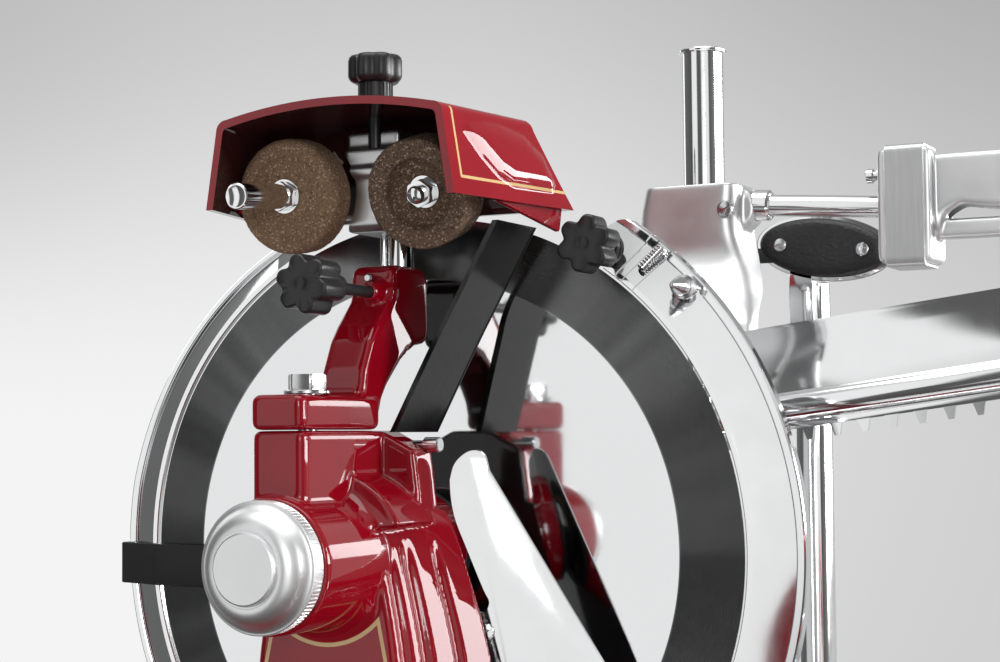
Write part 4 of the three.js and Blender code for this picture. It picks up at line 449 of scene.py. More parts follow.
def shrunk(outline, inset):  # an outline drawn in by an even width
    if not inset:
        return outline
    count = len(outline)
    area = sum(outline[i - 1][0] * outline[i][1] - outline[i][0] * outline[i - 1][1] for i in range(count))
    side = 1 if area > 0 else -1
    out = []
    for i, point in enumerate(outline):
        here = Vector(point)
        first, second = here - Vector(outline[i - 1]), Vector(outline[(i + 1) % count]) - here
        if first.length < 1e-6 or second.length < 1e-6:
            out.append(point)
            continue
        first.normalize()
        second.normalize()
        normal = Vector((-(first.y + second.y), first.x + second.x))
        if normal.length < 1e-6:
            out.append(point)
            continue
        normal.normalize()
        stretch = max(0.4, normal.dot(Vector((-first.y, first.x))))
        out.append(tuple(here + normal * side * inset / stretch))
    return out


onAxis = {  # a form's two flat values and its depth, as X, Y and Z
    "x": lambda a, b, s: Vector((s, a, b)),
    "y": lambda a, b, s: Vector((a, s, b)),
    "z": lambda a, b, s: Vector((a, b, s)),
}
still = Matrix.Identity(4)


class Form:  # closed shells gathered into one mesh, in millimetres
    def __init__(self, place=still):
        self.mesh = bmesh.new()
        self.look = 0
        self.place = place

    def points(self, ring):
        return [self.mesh.verts.new(self.place @ point) for point in ring]

    def face(self, corners):
        if len(corners) > 2:
            self.mesh.faces.new(corners).material_index = self.look

    def skin(self, rings):
        made = [self.points(ring) for ring in rings]
        count = len(made[0])
        for low, high in zip(made, made[1:]):
            for i in range(count):
                j = (i + 1) % count
                self.face(apart([low[i], low[j], high[j], high[i]]))
        for ring in (made[0], made[-1]):
            self.face(apart(ring))

    def lathe(self, profile, axis="z", centre=(0, 0), steps=96):
        made = []
        for radius, along in profile:
            ring = [centre] if radius < 1e-6 else circle(radius, steps, *centre)
            made.append(self.points([onAxis[axis](a, b, along) for a, b in ring]))
        pairs = list(zip(made, made[1:]))
        if profile[0][0] > 1e-6:
            pairs.append((made[-1], made[0]))
        for low, high in pairs:
            for i in range(steps):
                j = (i + 1) % steps
                corners = [low[i % len(low)], low[j % len(low)], high[j % len(high)], high[i % len(high)]]
                self.face(list(dict.fromkeys(corners)))

    def prism(self, outline, low, high, axis="z", edge=0, steps=3):  # edge rounds both ends of the slab
        turns = [k / steps * tau / 4 for k in range(steps + 1)] if edge else [0]
        depths = [(low + edge * (1 - math.cos(turn)), edge * (1 - math.sin(turn))) for turn in turns]
        ends = [(low + high - s, inset) for s, inset in reversed(depths)]
        self.skin([[onAxis[axis](a, b, s) for a, b in shrunk(outline, inset)] for s, inset in depths + ends])

    def take(self, mesh, place=still):  # another mesh's shells, put in their place
        start = len(self.mesh.verts)
        first = len(self.mesh.faces)
        self.mesh.from_mesh(mesh)
        self.mesh.verts.ensure_lookup_table()
        self.mesh.faces.ensure_lookup_table()
        bmesh.ops.transform(self.mesh, matrix=self.place @ place, verts=self.mesh.verts[start:])
        for face in self.mesh.faces[first:]:
            face.material_index = self.look

    def block(self, low, high, edge=0.6):
        self.prism(rectangle(low[0], high[0], low[1], high[1], edge * 1.5, 3), low[2], high[2], "z", edge, 2)

    def finished(self, name, inScene=True):  # the mesh, in millimetres or in its place in the scene
        if inScene:
            self.mesh.transform(Matrix.Translation(datum) @ Matrix.Scale(mm, 4))
        bmesh.ops.recalc_face_normals(self.mesh, faces=self.mesh.faces)
        mesh = bpy.data.meshes.new(name)
        self.mesh.to_mesh(mesh)
        self.mesh.free()
        return mesh


def apart(ring):  # a ring without points that fall together
    return [v for k, v in enumerate(ring) if (v.co - ring[k - 1].co).length > 1e-7]


def rodProfile(radius, low, high):
    return [(0, low), (radius, low), (radius, high), (0, high)]


def turned(profile, axis="z", centre=(0, 0), steps=48, place=still):
    form = Form(place)
    form.lathe(profile, axis, centre, steps)
    return form


def drill(radius, low, high, axis="z", centre=(0, 0), steps=48, place=still):  # a cylinder to cut with
    return turned(rodProfile(radius, low, high), axis, centre, steps, place)


def box(low, high, edge=0):
    form = Form()
    form.block(low, high, edge)
    return form


def pinProfile(radius, low, high, edge, topEdge=None):  # a rod with both ends chamfered
    top = topEdge or edge
    return [(0, low), (radius - edge, low), (radius, low + edge), (radius, high - top), (radius - top, high),
            (0, high)]


def settled(piece, steps):  # a piece with its modifiers worked into its mesh
    for kind, settings in steps:
        modifier = piece.modifiers.new(kind, kind)
        for key, value in settings.items():
            setattr(modifier, key, value)
    name = piece.name
    mesh = bpy.data.meshes.new_from_object(piece.evaluated_get(bpy.context.evaluated_depsgraph_get()))
    bpy.data.objects.remove(piece)
    return show(name, mesh)


def carved(piece, cutter, inScene=True):  # a piece less a form
    tool = show(piece.name + "_tool", cutter.finished(piece.name + "_tool", inScene))
    piece = settled(piece, [("BOOLEAN", {"operation": "DIFFERENCE", "object": tool, "solver": "EXACT"})])
    bpy.data.objects.remove(tool)
    return piece


def addPiece(name, form, finishes, body="frame", replaced=None, sharp=30, bevel=0, melt=None, cuts=()):
    piece = show(name, form.finished(name))
    if melt:  # the forms flow together: voxel size, rounds of smoothing, share of the triangles kept
        voxel, polish, share = melt
        piece = settled(piece, [("REMESH", {"mode": "VOXEL", "voxel_size": voxel * mm}),
                                ("SMOOTH", {"factor": 0.5, "iterations": polish}),
                                ("DECIMATE", {"ratio": share})])
    for cutter in cuts:
        piece = carved(piece, cutter)
    finishes = finishes.split()
    piece.data.materials.clear()
    for finish in finishes:
        piece.data.materials.append(looks[finish])
    for face in piece.data.polygons:
        face.use_smooth = True
    piece.data.set_sharp_from_angle(angle=math.radians(sharp))
    if bevel:
        rounding = piece.modifiers.new("Bevel", "BEVEL")
        rounding.width = bevel * mm
        rounding.segments = 3
        rounding.limit_method = "ANGLE"
        rounding.angle_limit = math.radians(sharp)
        rounding.harden_normals = True
    if replaced:
        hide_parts(replaced)
    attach(piece, body)


# Camera and studio

cameraSize = {
    "place": (424.86, -783.74, 49.74), "ahead": (-0.4439, 0.8944, 0.0549), "up": (0.0327, -0.0451, 0.9984),
    "lens": 70.2, "sensor": 36,
}


def setCamera():
    c = cameraSize
    ahead = Vector(c["ahead"]).normalized()
    right = ahead.cross(Vector(c["up"])).normalized()
    data = bpy.data.cameras.new("camera")
    data.lens, data.sensor_width = c["lens"], c["sensor"]
    data.clip_start, data.clip_end = 0.05, 30
    camera = show("camera", data)
    camera.matrix_world = (Matrix.Translation(datum + Vector(c["place"]) * mm)
                           @ Matrix((right, right.cross(ahead), -ahead)).transposed().to_4x4())
    bpy.context.scene.camera = camera


studio = {"floor": 12, "wallY": 2.6, "wallHeight": 6, "bend": 1.2, "steps": 16}


def studioPaint(g, x, z):  # the wall is paler low down and to the left
    lower = 1 - g.step(z, 0.35, 1.5)
    right = 1 - g.step(x, -1.7, -0.3) * 0.31
    corner = 1 - (1 - g.step(x, -3.0, -2.0)) * g.step(z, 0.5, 1.2) * 0.1
    shade = (lower * 0.345 + 0.555) * right * corner
    return g.blend(shade + g.noise(3) * 0.008, (0, 0, 0), (1, 1, 1))


# What polished metal sees around it, from straight behind, over the left, past the front, to the right again:
# bearing in degrees, positive to the left of the front, and brightness
surroundings = [
    (-180, 0.40), (-158, 0.12), (-147, 0.12), (-140, 0.50), (-104, 0.42), (-76, 0.20), (-54, 0.10),
    (-49, 1.0), (-13, 1.02), (-9.5, 0.12), (12, 0.12), (15.5, 1.05), (42, 1.05), (46, 0.09), (98, 0.16),
    (150, 0.50),
]


def surround(g, x, y):
    bearing = g.maths("ARCTAN2", x * -1, y * -1) / tau + 0.5
    stops = [((angle + 180) / 360, shade) for angle, shade in surroundings]
    return g.node("ShaderNodeValToRGB", {"stops": stops}, Fac=bearing)


def sweepPath():  # depth and height of the floor and the wall that it bends up into
    s = studio
    yield -s["floor"] / 2, 0
    for k in range(s["steps"] + 1):
        turn = k / s["steps"] * tau / 4
        yield s["wallY"] - s["bend"] * (1 - math.sin(turn)), s["bend"] * (1 - math.cos(turn))
    yield s["wallY"], s["wallHeight"]


def setStudio():
    form = bmesh.new()
    half = studio["floor"] / 2
    rows = [[form.verts.new((x, y, z)) for x in (-half, half)] for y, z in sweepPath()]
    for low, high in zip(rows, rows[1:]):
        form.faces.new((low[0], low[1], high[1], high[0])).smooth = True
    mesh = bpy.data.meshes.new("studio_sweep")
    form.to_mesh(mesh)
    form.free()
    sweep = show("studio_sweep", mesh)
    material = bpy.data.materials.new("studioPaper")
    material.use_nodes = True
    tree = material.node_tree
    tree.nodes.clear()
    g = Graph(tree)
    x, y, z = g.parts(g.node("ShaderNodeNewGeometry", out=0))
    wall = g.step(y, 0.6, 1.6)
    far = g.step(g.length(x - datum.x, y - datum.y), 0.45, 0.8)
    around = g.blend(far, (0.10, 0.09, 0.09), surround(g, x - datum.x, y - datum.y))
    lit = g.node("ShaderNodeEmission", Color=g.blend(wall, around, studioPaint(g, x, z)), Strength=1)
    seen, shine, through = [g.node("ShaderNodeLightPath", out=i) for i in (0, 3, 6)]
    mix = tree.nodes.new("ShaderNodeMixShader")
    g.put(mix.inputs[0], g.most(g.most(seen, through) * wall, shine))
    g.put(mix.inputs[1], g.node("ShaderNodeBsdfDiffuse", Color=(0.78, 0.78, 0.78, 1)))
    g.put(mix.inputs[2], lit)
    tree.links.new(mix.outputs[0], tree.nodes.new("ShaderNodeOutputMaterial").inputs[0])
    sweep.data.materials.append(material)


lamps = {  # bearing in degrees, positive to the left of the front, height, distance, size and brightness
    "rightBox": (-121, 11, 1.5, (1.55, 0.53), 14),
    "frontBox": (-30, 10.5, 1.6, (0.27, 0.36), 10),
    "topBox": (-20, 82, 1.5, (1.3, 0.9), 2.8),
    "leftBox": (116, 26, 1.6, (0.35, 0.8), 1.4),
}


def setLamps():
    for name, (bearing, rise, distance, size, brightness) in lamps.items():
        b, e = math.radians(bearing), math.radians(rise)
        away = Vector((-math.sin(b) * math.cos(e), -math.cos(b) * math.cos(e), math.sin(e)))
        data = bpy.data.lights.new(name, "AREA")
        data.shape = "RECTANGLE"
        data.size, data.size_y = size
        data.energy = brightness * math.pi * size[0] * size[1]
        lamp = show(name, data)
        lamp.location = datum + away * distance
        lamp.rotation_euler = (-away).to_track_quat("-Z", "Y").to_euler()


def setWorld():
    world = bpy.data.worlds.new("studio")
    bpy.context.scene.world = world
    world.use_nodes = True
    g = Graph(world.node_tree)
    x, y, z = g.parts(g.node("ShaderNodeTexCoord", out=0))
    around = g.blend(g.step(z, 0.6, 0.85), surround(g, x, y), (0.75, 0.75, 0.75))
    shine, diffuse = [g.node("ShaderNodeLightPath", out=i) for i in (3, 2)]
    background = world.node_tree.nodes["Background"]
    g.put(background.inputs[0],
          g.blend(shine, g.blend(diffuse, (0.72, 0.72, 0.72), (0.45, 0.45, 0.45)), around))
    background.inputs[1].default_value = 1
    bpy.context.scene.view_settings.view_transform = "Standard"


setCamera()
setStudio()
setLamps()
setWorld()
print("studio set")


# What repeats: Geometry Nodes trees that set one small form out round a ring or along a line

def growTree(name, sizes, build):
    tree = bpy.data.node_groups.new(name, "GeometryNodeTree")
    for key, kind in sizes.items():
        tree.interface.new_socket(name=key, in_out="INPUT", socket_type="NodeSocket" + kind)
    tree.interface.new_socket(name="Geometry", in_out="OUTPUT", socket_type="NodeSocketGeometry")
    g = Graph(tree)
    entry = tree.nodes.new("NodeGroupInput")
    given = {key: Wire(g, entry.outputs[key]) for key in sizes}
    part = g.node("GeometryNodeObjectInfo", {"transform_space": "ORIGINAL"}, out=4, Object=given["Part"])
    points, turn = build(g, given)
    copies = g.node("GeometryNodeInstanceOnPoints", Points=points, Instance=part, Rotation=turn)
    solid = g.node("GeometryNodeRealizeInstances", Geometry=copies)
    painted = g.node("GeometryNodeSetMaterial", Geometry=solid, Material=given["Finish"])
    tree.links.new(painted.socket, tree.nodes.new("NodeGroupOutput").inputs[0])
    return tree


def roundRing(g, given):  # turned about Z, starting on X
    ring = g.node("GeometryNodeMeshCircle", Vertices=given["Count"], Radius=given["Radius"])
    angle = g.node("GeometryNodeInputIndex") * tau / given["Count"]
    return g.node("GeometryNodeMeshToPoints", Mesh=ring), g.node("ShaderNodeCombineXYZ", Z=angle)


def alongLine(g, given):  # stepped along X
    offset = g.node("ShaderNodeCombineXYZ", X=given["Pitch"])
    line = g.node("GeometryNodeMeshLine", Count=given["Count"], Offset=offset)
    return g.node("GeometryNodeMeshToPoints", Mesh=line), None


spreadTrees = {}
for build, size in ((roundRing, "Radius"), (alongLine, "Pitch")):
    sizes = {"Part": "Object", "Finish": "Material", "Count": "Int", size: "Float"}
    spreadTrees[size] = growTree(build.__name__, sizes, build)


def spread(form, finish, **sizes):  # a form's copies as one plain mesh, in millimetres
    tree = spreadTrees["Radius" if "radius" in sizes else "Pitch"]
    part = bpy.data.objects.new("spread_part", form.finished("spread_part", False))
    holder = show("spread", bpy.data.meshes.new("spread"))
    modifier = holder.modifiers.new("Spread", "NODES")
    modifier.node_group = tree
    given = {"Part": part, "Finish": looks[finish], **{key.title(): value for key, value in sizes.items()}}
    for item in tree.interface.items_tree:
        if item.in_out == "INPUT":
            modifier[item.identifier] = given[item.name]
    mesh = bpy.data.meshes.new_from_object(holder.evaluated_get(bpy.context.evaluated_depsgraph_get()))
    bpy.data.objects.remove(holder)
    bpy.data.objects.remove(part)
    return mesh


def upright(x=0, y=0, z=0):  # turns a form made along Z so that it looks along -Y
    return Matrix.Translation((x, y, z)) @ Matrix.Rotation(tau / 4, 4, "X")


screwSize = {"slotShare": 0.22, "slotFloor": 0.42, "sunk": 0.2}
screwDome = [(1, 0), (1, 0.45), (0.93, 0.75), (0.7, 0.94), (0, 1)]  # shares of the radius and of the height


def screwForm(radius, height):  # a slotted head that looks along Z, its seat at 0
    s = screwSize
    sunk = -height * s["sunk"]
    profile = [(0, sunk), (radius * 0.98, sunk)] + [(radius * a, height * b) for a, b in screwDome]
    head = show("screw", turned(profile, steps=40).finished("screw", False))
    half = radius * s["slotShare"] / 2
    slot = box((-radius * 1.2, -half, height * s["slotFloor"]), (radius * 1.2, half, height * 1.5))
    piece = carved(head, slot, False)
    mesh = piece.data
    bpy.data.objects.remove(piece)
    return mesh


print("trees and screws ready")


# Knife

def makeKnife():
    k = knifeShape
    face = -knifeFace
    profile = [(k["bore"], face), (k["bevel"] - 0.3, face), (k["bevel"] + 0.3, face + 0.04),
               (k["edge"], -k["half"]), (k["edge"], k["half"]), (k["backBevel"], k["back"]),
               (k["bore"], k["back"])]
    addPiece("knife_disc", turned(profile, "y", steps=288), "bladeSteel", "knife", "knife", sharp=3)


# Column that carries the knife

columnSize = {
    "cornerFront": 4, "melt": (0.85, 12, 0.4),
    # height, half width behind, half width in front, front and rear
    "rows": [(-184.7, 80, 66, -114, -20), (-175, 80, 66, -114, -20), (-166, 69.8, 54, -105.2, -33.7),
             (-127.4, 64, 42, -97.5, -44.8), (-82.3, 59.5, 35.5, -93.3, -47.5),
             (-37.3, 53.5, 32, -92, -47.5), (5.7, 40, 24.5, -92, -47.5), (20, 33, 21, -92, -47.5)],
    # place across the flank, half width and depth of each groove
    "flutes": [(0.125, 3.2, 2.3), (0.335, 3.5, 2.5), (0.66, 2.6, 2.0)], "fluteTop": 8, "fluteFoot": -168,
    "fluteSteps": 90, "barrel": [(0, -135), (26.6, -135), (27.5, -134.1), (27.5, -16), (0, -16)],
    "flange": [(0, -101.5), (27.5, -101.5), (27.9, -98.5), (29.2, -95.6), (31.6, -93), (34.6, -91.6),
               (36.4, -91), (37, -90), (37, -61), (33, -57), (27.5, -51.7), (0, -51.7)],
    "flangeLow": 14, "flangeIn": 24,
    "blockHalf": 12.4, "blockFront": -128.5, "blockRear": -50, "blockTop": 53.5, "blockCorner": 4.2,
    "shoulder": [(-10.5, 53.5), (-27, 45), (-30, 20), (0, 0), (30, 20), (27, 45), (10.5, 53.5)],
    "shoulderFront": -66, "shoulderRear": -47.5,
    "bores": [
        ([(0, -145), (20, -145), (20, -114.7), (18.6, -114.7), (18.6, -32.3), (20, -32.3), (20, -5), (0, -5)],
         "y", (0, 0)),
        ([(0, -195), (18.6, -195), (18.6, -150), (7.4, -150), (7.4, -40), (18.6, -40), (18.6, 0), (0, 0)],
         "z", (0, -69)),
        ([(0, 35.7), (4.3, 35.7), (4.3, 60), (0, 60)], "z", (3, -110)),
        ([(0, 11.7), (2.3, 11.7), (2.3, 25.7), (3.6, 25.7), (3.6, 36), (0, 36)], "x", (-52, 47.2)),
    ],
}


def columnPlan(z, rear, front, yFront, yRear):  # half a section at one height, then its mirror half
    c = columnSize
    side = Vector((rear - front, yRear - yFront))
    length = side.length
    side.normalize()
    out = Vector((side.y, -side.x))
    corner = Vector((front, yFront))
    curve = c["cornerFront"] * 0.6
    points = [(x * front / 8, yFront) for x in range(7)]
    first, last = Vector((front - curve, yFront)), corner + side * c["cornerFront"] * 0.6
    points += [curved(first, corner, last, k / 6) for k in range(1, 7)]
    fade = min(1, max(0, (c["fluteTop"] - z) / 14)) * min(1, max(0, (z - c["fluteFoot"]) / 20))
    for k in range(1, c["fluteSteps"] + 1):
        along = curve + (length - curve) * k / c["fluteSteps"]
        depth = 0
        for share, half, deep in c["flutes"]:
            near = abs(along - length * share) / half
            if near < 1:
                depth = max(depth, deep * (1 + math.cos(near * tau / 2)) / 2 * fade)
        points.append(tuple(corner + side * along - out * depth))
    points += [(rear * (1 - k / 8), yRear) for k in range(1, 8)]
    return points + [(0, yRear)] + [(-x, y) for x, y in reversed(points[1:])]


def makeColumn():
    c = columnSize
    form = Form()
    rows = c["rows"][:2] + flowing(c["rows"][2:], 7)
    form.skin([[Vector((x, y, row[0])) for x, y in columnPlan(*row)] for row in rows])
    form.lathe(c["barrel"], "y", steps=120)
    start = len(form.mesh.verts)
    form.lathe(c["flange"], "y", steps=120)
    form.mesh.verts.ensure_lookup_table()
    for vertex in form.mesh.verts[start:]:
        if vertex.co.z < c["flangeLow"]:
            vertex.co.x = max(-c["flangeIn"], min(c["flangeIn"], vertex.co.x))
    half = c["blockHalf"]
    form.prism(rectangle(-half, half, c["blockFront"], c["blockRear"], c["blockCorner"]), 0, c["blockTop"],
               "z", 2.4, 4)
    form.prism(rounded(c["shoulder"], 3), c["shoulderFront"], c["shoulderRear"], "y", 2, 4)
    addPiece("knife_column_casting", form, "columnEnamel", replaced="knife_column", sharp=50, melt=c["melt"],
             cuts=[turned(*bore) for bore in c["bores"]])


# Hub cap with its straight knurl

capSize = {
    "profile": [(0, -152.7), (13.5, -152.7), (14.1, -152.35), (14.2, -151.6), (14.55, -150.7),
                (15.1, -150.75)],
    "dome": [(15.3, -150.9), (17.3, -150.6), (19.6, -149.4), (21.6, -147.3), (22.9, -145.2), (24.0, -143.7),
             (25.1, -142.75), (26.0, -142.45)],
    "side": [(26.35, -142.2), (26.35, -141.8), (26.0, -141.4), (26.0, -136.4), (26.3, -135.9),
             (26.0, -135.3), (18.6, -135.3), (18.6, -130), (0, -130)],
    "teeth": 96, "tooth": [(-0.3, -0.62), (0.44, -0.155), (0.44, 0.155), (-0.3, 0.62)],
    "radius": 26.0, "from": -141.5, "to": -136.3,
}


def makeHubCap():
    c = capSize
    form = turned(c["profile"] + flowing(c["dome"]) + c["side"], "y", steps=192)
    tooth = Form()
    tooth.prism(c["tooth"], c["from"], c["to"])
    teeth = spread(tooth, "satinSteel", count=c["teeth"], radius=c["radius"])
    form.take(teeth, Matrix.Rotation(-tau / 4, 4, "X"))
    addPiece("hub_cap_turned", form, "satinSteel", replaced="hub_cap", sharp=28)


# Guard ring

guardSize = {
    "profile": [(151.2, -1.1), (151.6, -1.5), (153.8, -1.5), (154.3, -1.25), (170.2, 7.7), (170.5, 7.75),
                (170.7, 7.0), (171.1, 6.7), (173.6, 6.7), (174.3, 7.2), (174.6, 8.2), (174.6, 13.2),
                (173.8, 14), (172.4, 14), (154.0, 1.5), (152.0, 1.5), (151.2, 1.1)],
    "start": 41.8, "end": 333, "taperStart": 280, "taperShare": 0.62, "flat": 153.4, "steps": 260,
    "plate": (31, 37.6), "plateCorner": 11, "plateIn": 151.2, "plateOut": 174.6,
}
knobPlaces = {"guard": (91, 132), "bracket": (3.5, 113)}
pinPlace = (124, 114)


def onClock(clock, radius, y):  # a point round the knife, in degrees from the top
    return Vector((radius * math.sin(math.radians(clock)), y, radius * math.cos(math.radians(clock))))


def guardRings(start, end, steps):
    g = guardSize
    rings = []
    for i in range(steps + 1):
        clock = start + (end - start) * i / steps
        taper = 1 - (1 - g["taperShare"]) * max(0, (clock - g["taperStart"]) / (g["end"] - g["taperStart"]))
        rings.append([onClock(clock, r if r <= g["flat"] + 0.4 else g["flat"] + (r - g["flat"]) * taper, y)
                      for r, y in g["profile"]])
    return rings


def makeGuard():
    g = guardSize
    form = Form()
    form.skin(guardRings(g["start"], g["end"], g["steps"]))
    addPiece("guard_ring_polished", form, "polishedSteel", replaced="guard_ring", sharp=12,
             cuts=[drill(4.0, -9, 20, "y", pinPlace, 32)])


def makeEndPlate():  # the ring's end by the sharpener, cut off by the sharpener's gap, corners rounded
    g = guardSize
    form = Form()
    form.skin(guardRings(*g["plate"], 20))
    angle = math.radians(g["plate"][0])
    place = Matrix(((math.sin(angle), 0, math.cos(angle), 0), (0, 1, 0, 0),
                    (math.cos(angle), 0, -math.sin(angle), 0), (0, 0, 0, 1)))
    corner = g["plateCorner"]
    cutters = []
    for edge, way in ((g["plateOut"], 1), (g["plateIn"], -1)):
        cutter = Form(place)
        middle = edge - corner * way
        turns = [k / 12 * tau / 4 for k in range(13)]
        arc = [(middle + corner * math.cos(t) * way, corner - corner * math.sin(t)) for t in turns]
        cutter.prism([(middle, -2), (edge + 2 * way, -2), (edge + 2 * way, corner)] + arc, -10, 24, "y")
        cutters.append(cutter)
    cutters.append(drill(3.9, -9, 24, "y", knobPlaces["guard"], 32))
    addPiece("guard_end_polished", form, "polishedSteel", replaced="guard_end_plate", sharp=12, cuts=cutters)


clipSize = {
    "dark": (37.9, 39.1), "light": (39.3, 41.6), "clock": 40.4, "from": (161, 0.2), "to": (173.5, 4.6),
    "turns": 9, "radius": 2.3,
}


def makeCrossClip():
    c = clipSize
    form = Form()
    form.skin(guardRings(*c["light"], 4))
    form.look = 1
    form.skin(guardRings(*c["dark"], 3))
    form.look = 2
    start = onClock(c["clock"], *c["from"])
    along = onClock(c["clock"], *c["to"]) - start
    form.place = Matrix.Translation(start) @ along.to_track_quat("Z", "Y").to_matrix().to_4x4()
    radius = c["radius"]
    profile = [(0, 0)]
    for k in range(c["turns"]):
        low = along.length * k / c["turns"]
        profile += [(radius - 0.5, low), (radius, low + 0.45), (radius, low + 0.85)]
    form.lathe(profile + [(radius - 0.5, along.length), (0, along.length)], "z", steps=32)
    addPiece("cross_clip", form, "polishedSteel blackStrap machinedSteel", sharp=12)


guardPinProfile = [
    (0, -14), (0.9, -13.6), (1.6, -12.2), (2.7, -9), (3.7, -6), (4.0, -5.4), (4.0, -3.6), (3.3, -3.3),
    (3.3, -2.8), (4.2, -2.5), (4.2, -1.2), (3.8, -0.9), (3.8, -0.5), (5.3, 0), (5.3, 2.6), (3.9, 2.8),
    (3.9, 8.4), (0, 8.4),
]


def makeGuardPin():
    addPiece("guard_pin_turned", turned(guardPinProfile, "y", pinPlace, 64), "machinedSteel",
             replaced="guard_pin")


strapSize = {
    "top": 0, "bottom": -20, "edge": 0.7,
    "ring": [(20.6, -15.7), (26.8, -15.7), (27.3, -15.2), (27.3, -13.2), (26.8, -12.7), (20.6, -12.7)],
    "bent": [(-24, -15.7), (-84, -15.7, 40), (-150.5, -5.2, 30), (-173, 3.2, 8), (-178, 4.6, 2.5),
             (-178, 14), (-175.2, 14), (-175.2, 7.2, 1), (-172, 6.1, 8), (-150, -2.1, 30), (-85, -12.7, 40),
             (-24, -12.7)],
}


def makeGuardArm():
    s = strapSize
    form = turned(s["ring"], "y", steps=96)
    form.prism(rounded(s["bent"], 0, 6), s["bottom"], s["top"], "z", s["edge"], 2)
    addPiece("guard_arm_strap", form, "blackStrap", replaced="guard_arm")


staySize = {
    "half": 18, "front": 14.3, "thickness": 4, "depth": 30, "low": -184.7, "high": -158, "foot": 6,
    "screwX": 9,
}


def makeGuardStay():
    s = staySize
    low = (-s["half"], s["front"], s["low"])
    form = box(low, (s["half"], s["front"] + s["thickness"], s["high"]), 0.8)
    form.block(low, (s["half"], s["front"] + s["depth"], s["low"] + s["foot"]), 0.8)
    for x in (-s["screwX"], s["screwX"]):
        place = (x, s["front"] + s["depth"] * 0.6, s["low"] + s["foot"])
        form.take(screwForm(4.5, 2.6), Matrix.Translation(place))
    addPiece("guard_stay_bracket", form, "brushedSteel", replaced="guard_stay")


# Star knobs: the guard's, the bracket's and the hood's

knobSize = {
    "radius": 12.5, "lobes": 6, "depth": 1.5, "count": 144,
    # share of the head's depth, how far the outline is drawn in
    "head": [(0.0, 1.3), (0.015, 0.75), (0.05, 0.25), (0.1, 0.0), (0.9, 0.0), (0.96, 0.3), (1.0, 1.0)],
    "dish": [(0.4, 0.4), (2.08, 0.36), (2.6, 0.16), (3.2, 0)],
}


def scaled(outline, share):
    return [(a * share, b * share) for a, b in outline]


def starHead(form, x, z, front, back, turn):
    k = knobSize
    outline = lobedCircle(k["radius"], k["depth"], k["lobes"], k["count"], turn)
    rings = [[Vector((a, front + deep, b)) for a, b in circle(radius, k["count"], x, z)]
             for radius, deep in k["dish"]]
    for share, inset in k["head"]:
        y = front + (back - front) * share
        rings.append([Vector((x + a, y, z + b)) for a, b in scaled(outline, 1 - inset / k["radius"])])
    form.skin(rings)


starKnobs = {  # front and back of the head, its turn, its neck and its pin, each a profile with its steps
    "guard": (-32, -18, 0.3, "machinedSteel",
              [(0, -19), (8.4, -19), (7.6, -17.6), (6.6, -15.5), (6.2, -10), (0, -10)],
              [(0, -10.5), (6.6, -10.5), (7, -10), (7, -7.2), (6.6, -6.8), (6.6, -6.2), (7, -5.8), (7, -3),
               (6.5, -2.5), (3.5, -2.5), (3.5, 13), (0, 13)], 64),
    "bracket": (-116, -100, 0.75, "polishedSteel",
                [(0, -101), (8.2, -101), (7.2, -99), (6.6, -96), (5.9, -90), (5.6, -88), (0, -88)],
                [(0, -89), (2.5, -89), (2.5, -48.4), (2.1, -48), (0, -48)], 48),
}


def makeStarKnobs():
    for name, (front, back, turn, finish, neck, pin, steps) in starKnobs.items():
        form = Form()
        starHead(form, *knobPlaces[name], front, back, turn)
        form.lathe(neck, "y", knobPlaces[name], 64)
        form.look = 1
        form.lathe(pin, "y", knobPlaces[name], steps)
        knob = name + "_knob"
        addPiece(knob + "_moulded", form, "blackPlastic " + finish, knob, knob, sharp=32)


hoodKnobSize = {
    "place": (1, -50), "radius": 12, "lobes": 7, "depth": 0.75, "count": 168,
    # height and how far the lobed outline is drawn in
    "head": [(205, 2.6), (205.6, 1.4), (206.6, 0.5), (208, 0), (214.6, 0), (216.2, 0.5), (217.1, 1.5),
             (217.5, 3), (217.5, 6), (217.2, 8.5), (217.1, 11.5)],
    "stem": [(0, 193.4), (8.2, 193.4), (8.4, 194.0), (8.2, 195.2), (7.3, 195.6), (7.2, 205.5), (0, 205.5)],
    "ribs": 24, "rib": [(-0.4, -0.45), (0.45, -0.2), (0.45, 0.2), (-0.4, 0.45)], "ribRing": 7.2,
    "ribLow": 195.4, "ribHigh": 204.8, "screw": [(0, 172), (3, 172.4), (3, 194), (0, 194)],
}


def makeHoodKnob():
    k = hoodKnobSize
    x, y = k["place"]
    form = Form()
    outline = lobedCircle(k["radius"], k["depth"], k["lobes"], k["count"], 0.2)
    form.skin([[Vector((x + a, y + b, z)) for a, b in scaled(outline, 1 - inset / k["radius"])]
               for z, inset in k["head"]])
    form.lathe(k["stem"], "z", k["place"], 96)
    rib = Form()
    rib.prism(k["rib"], k["ribLow"], k["ribHigh"])
    ribs = spread(rib, "blackPlastic", count=k["ribs"], radius=k["ribRing"])
    form.take(ribs, Matrix.Translation((x, y, 0)))
    form.look = 1
    form.lathe(k["screw"], "z", k["place"], 32)
    addPiece("hood_knob_moulded", form, "blackPlastic machinedSteel", "sharpener_knob", "sharpener_knob",
             sharp=32)


# Sharpener's red arm on the column

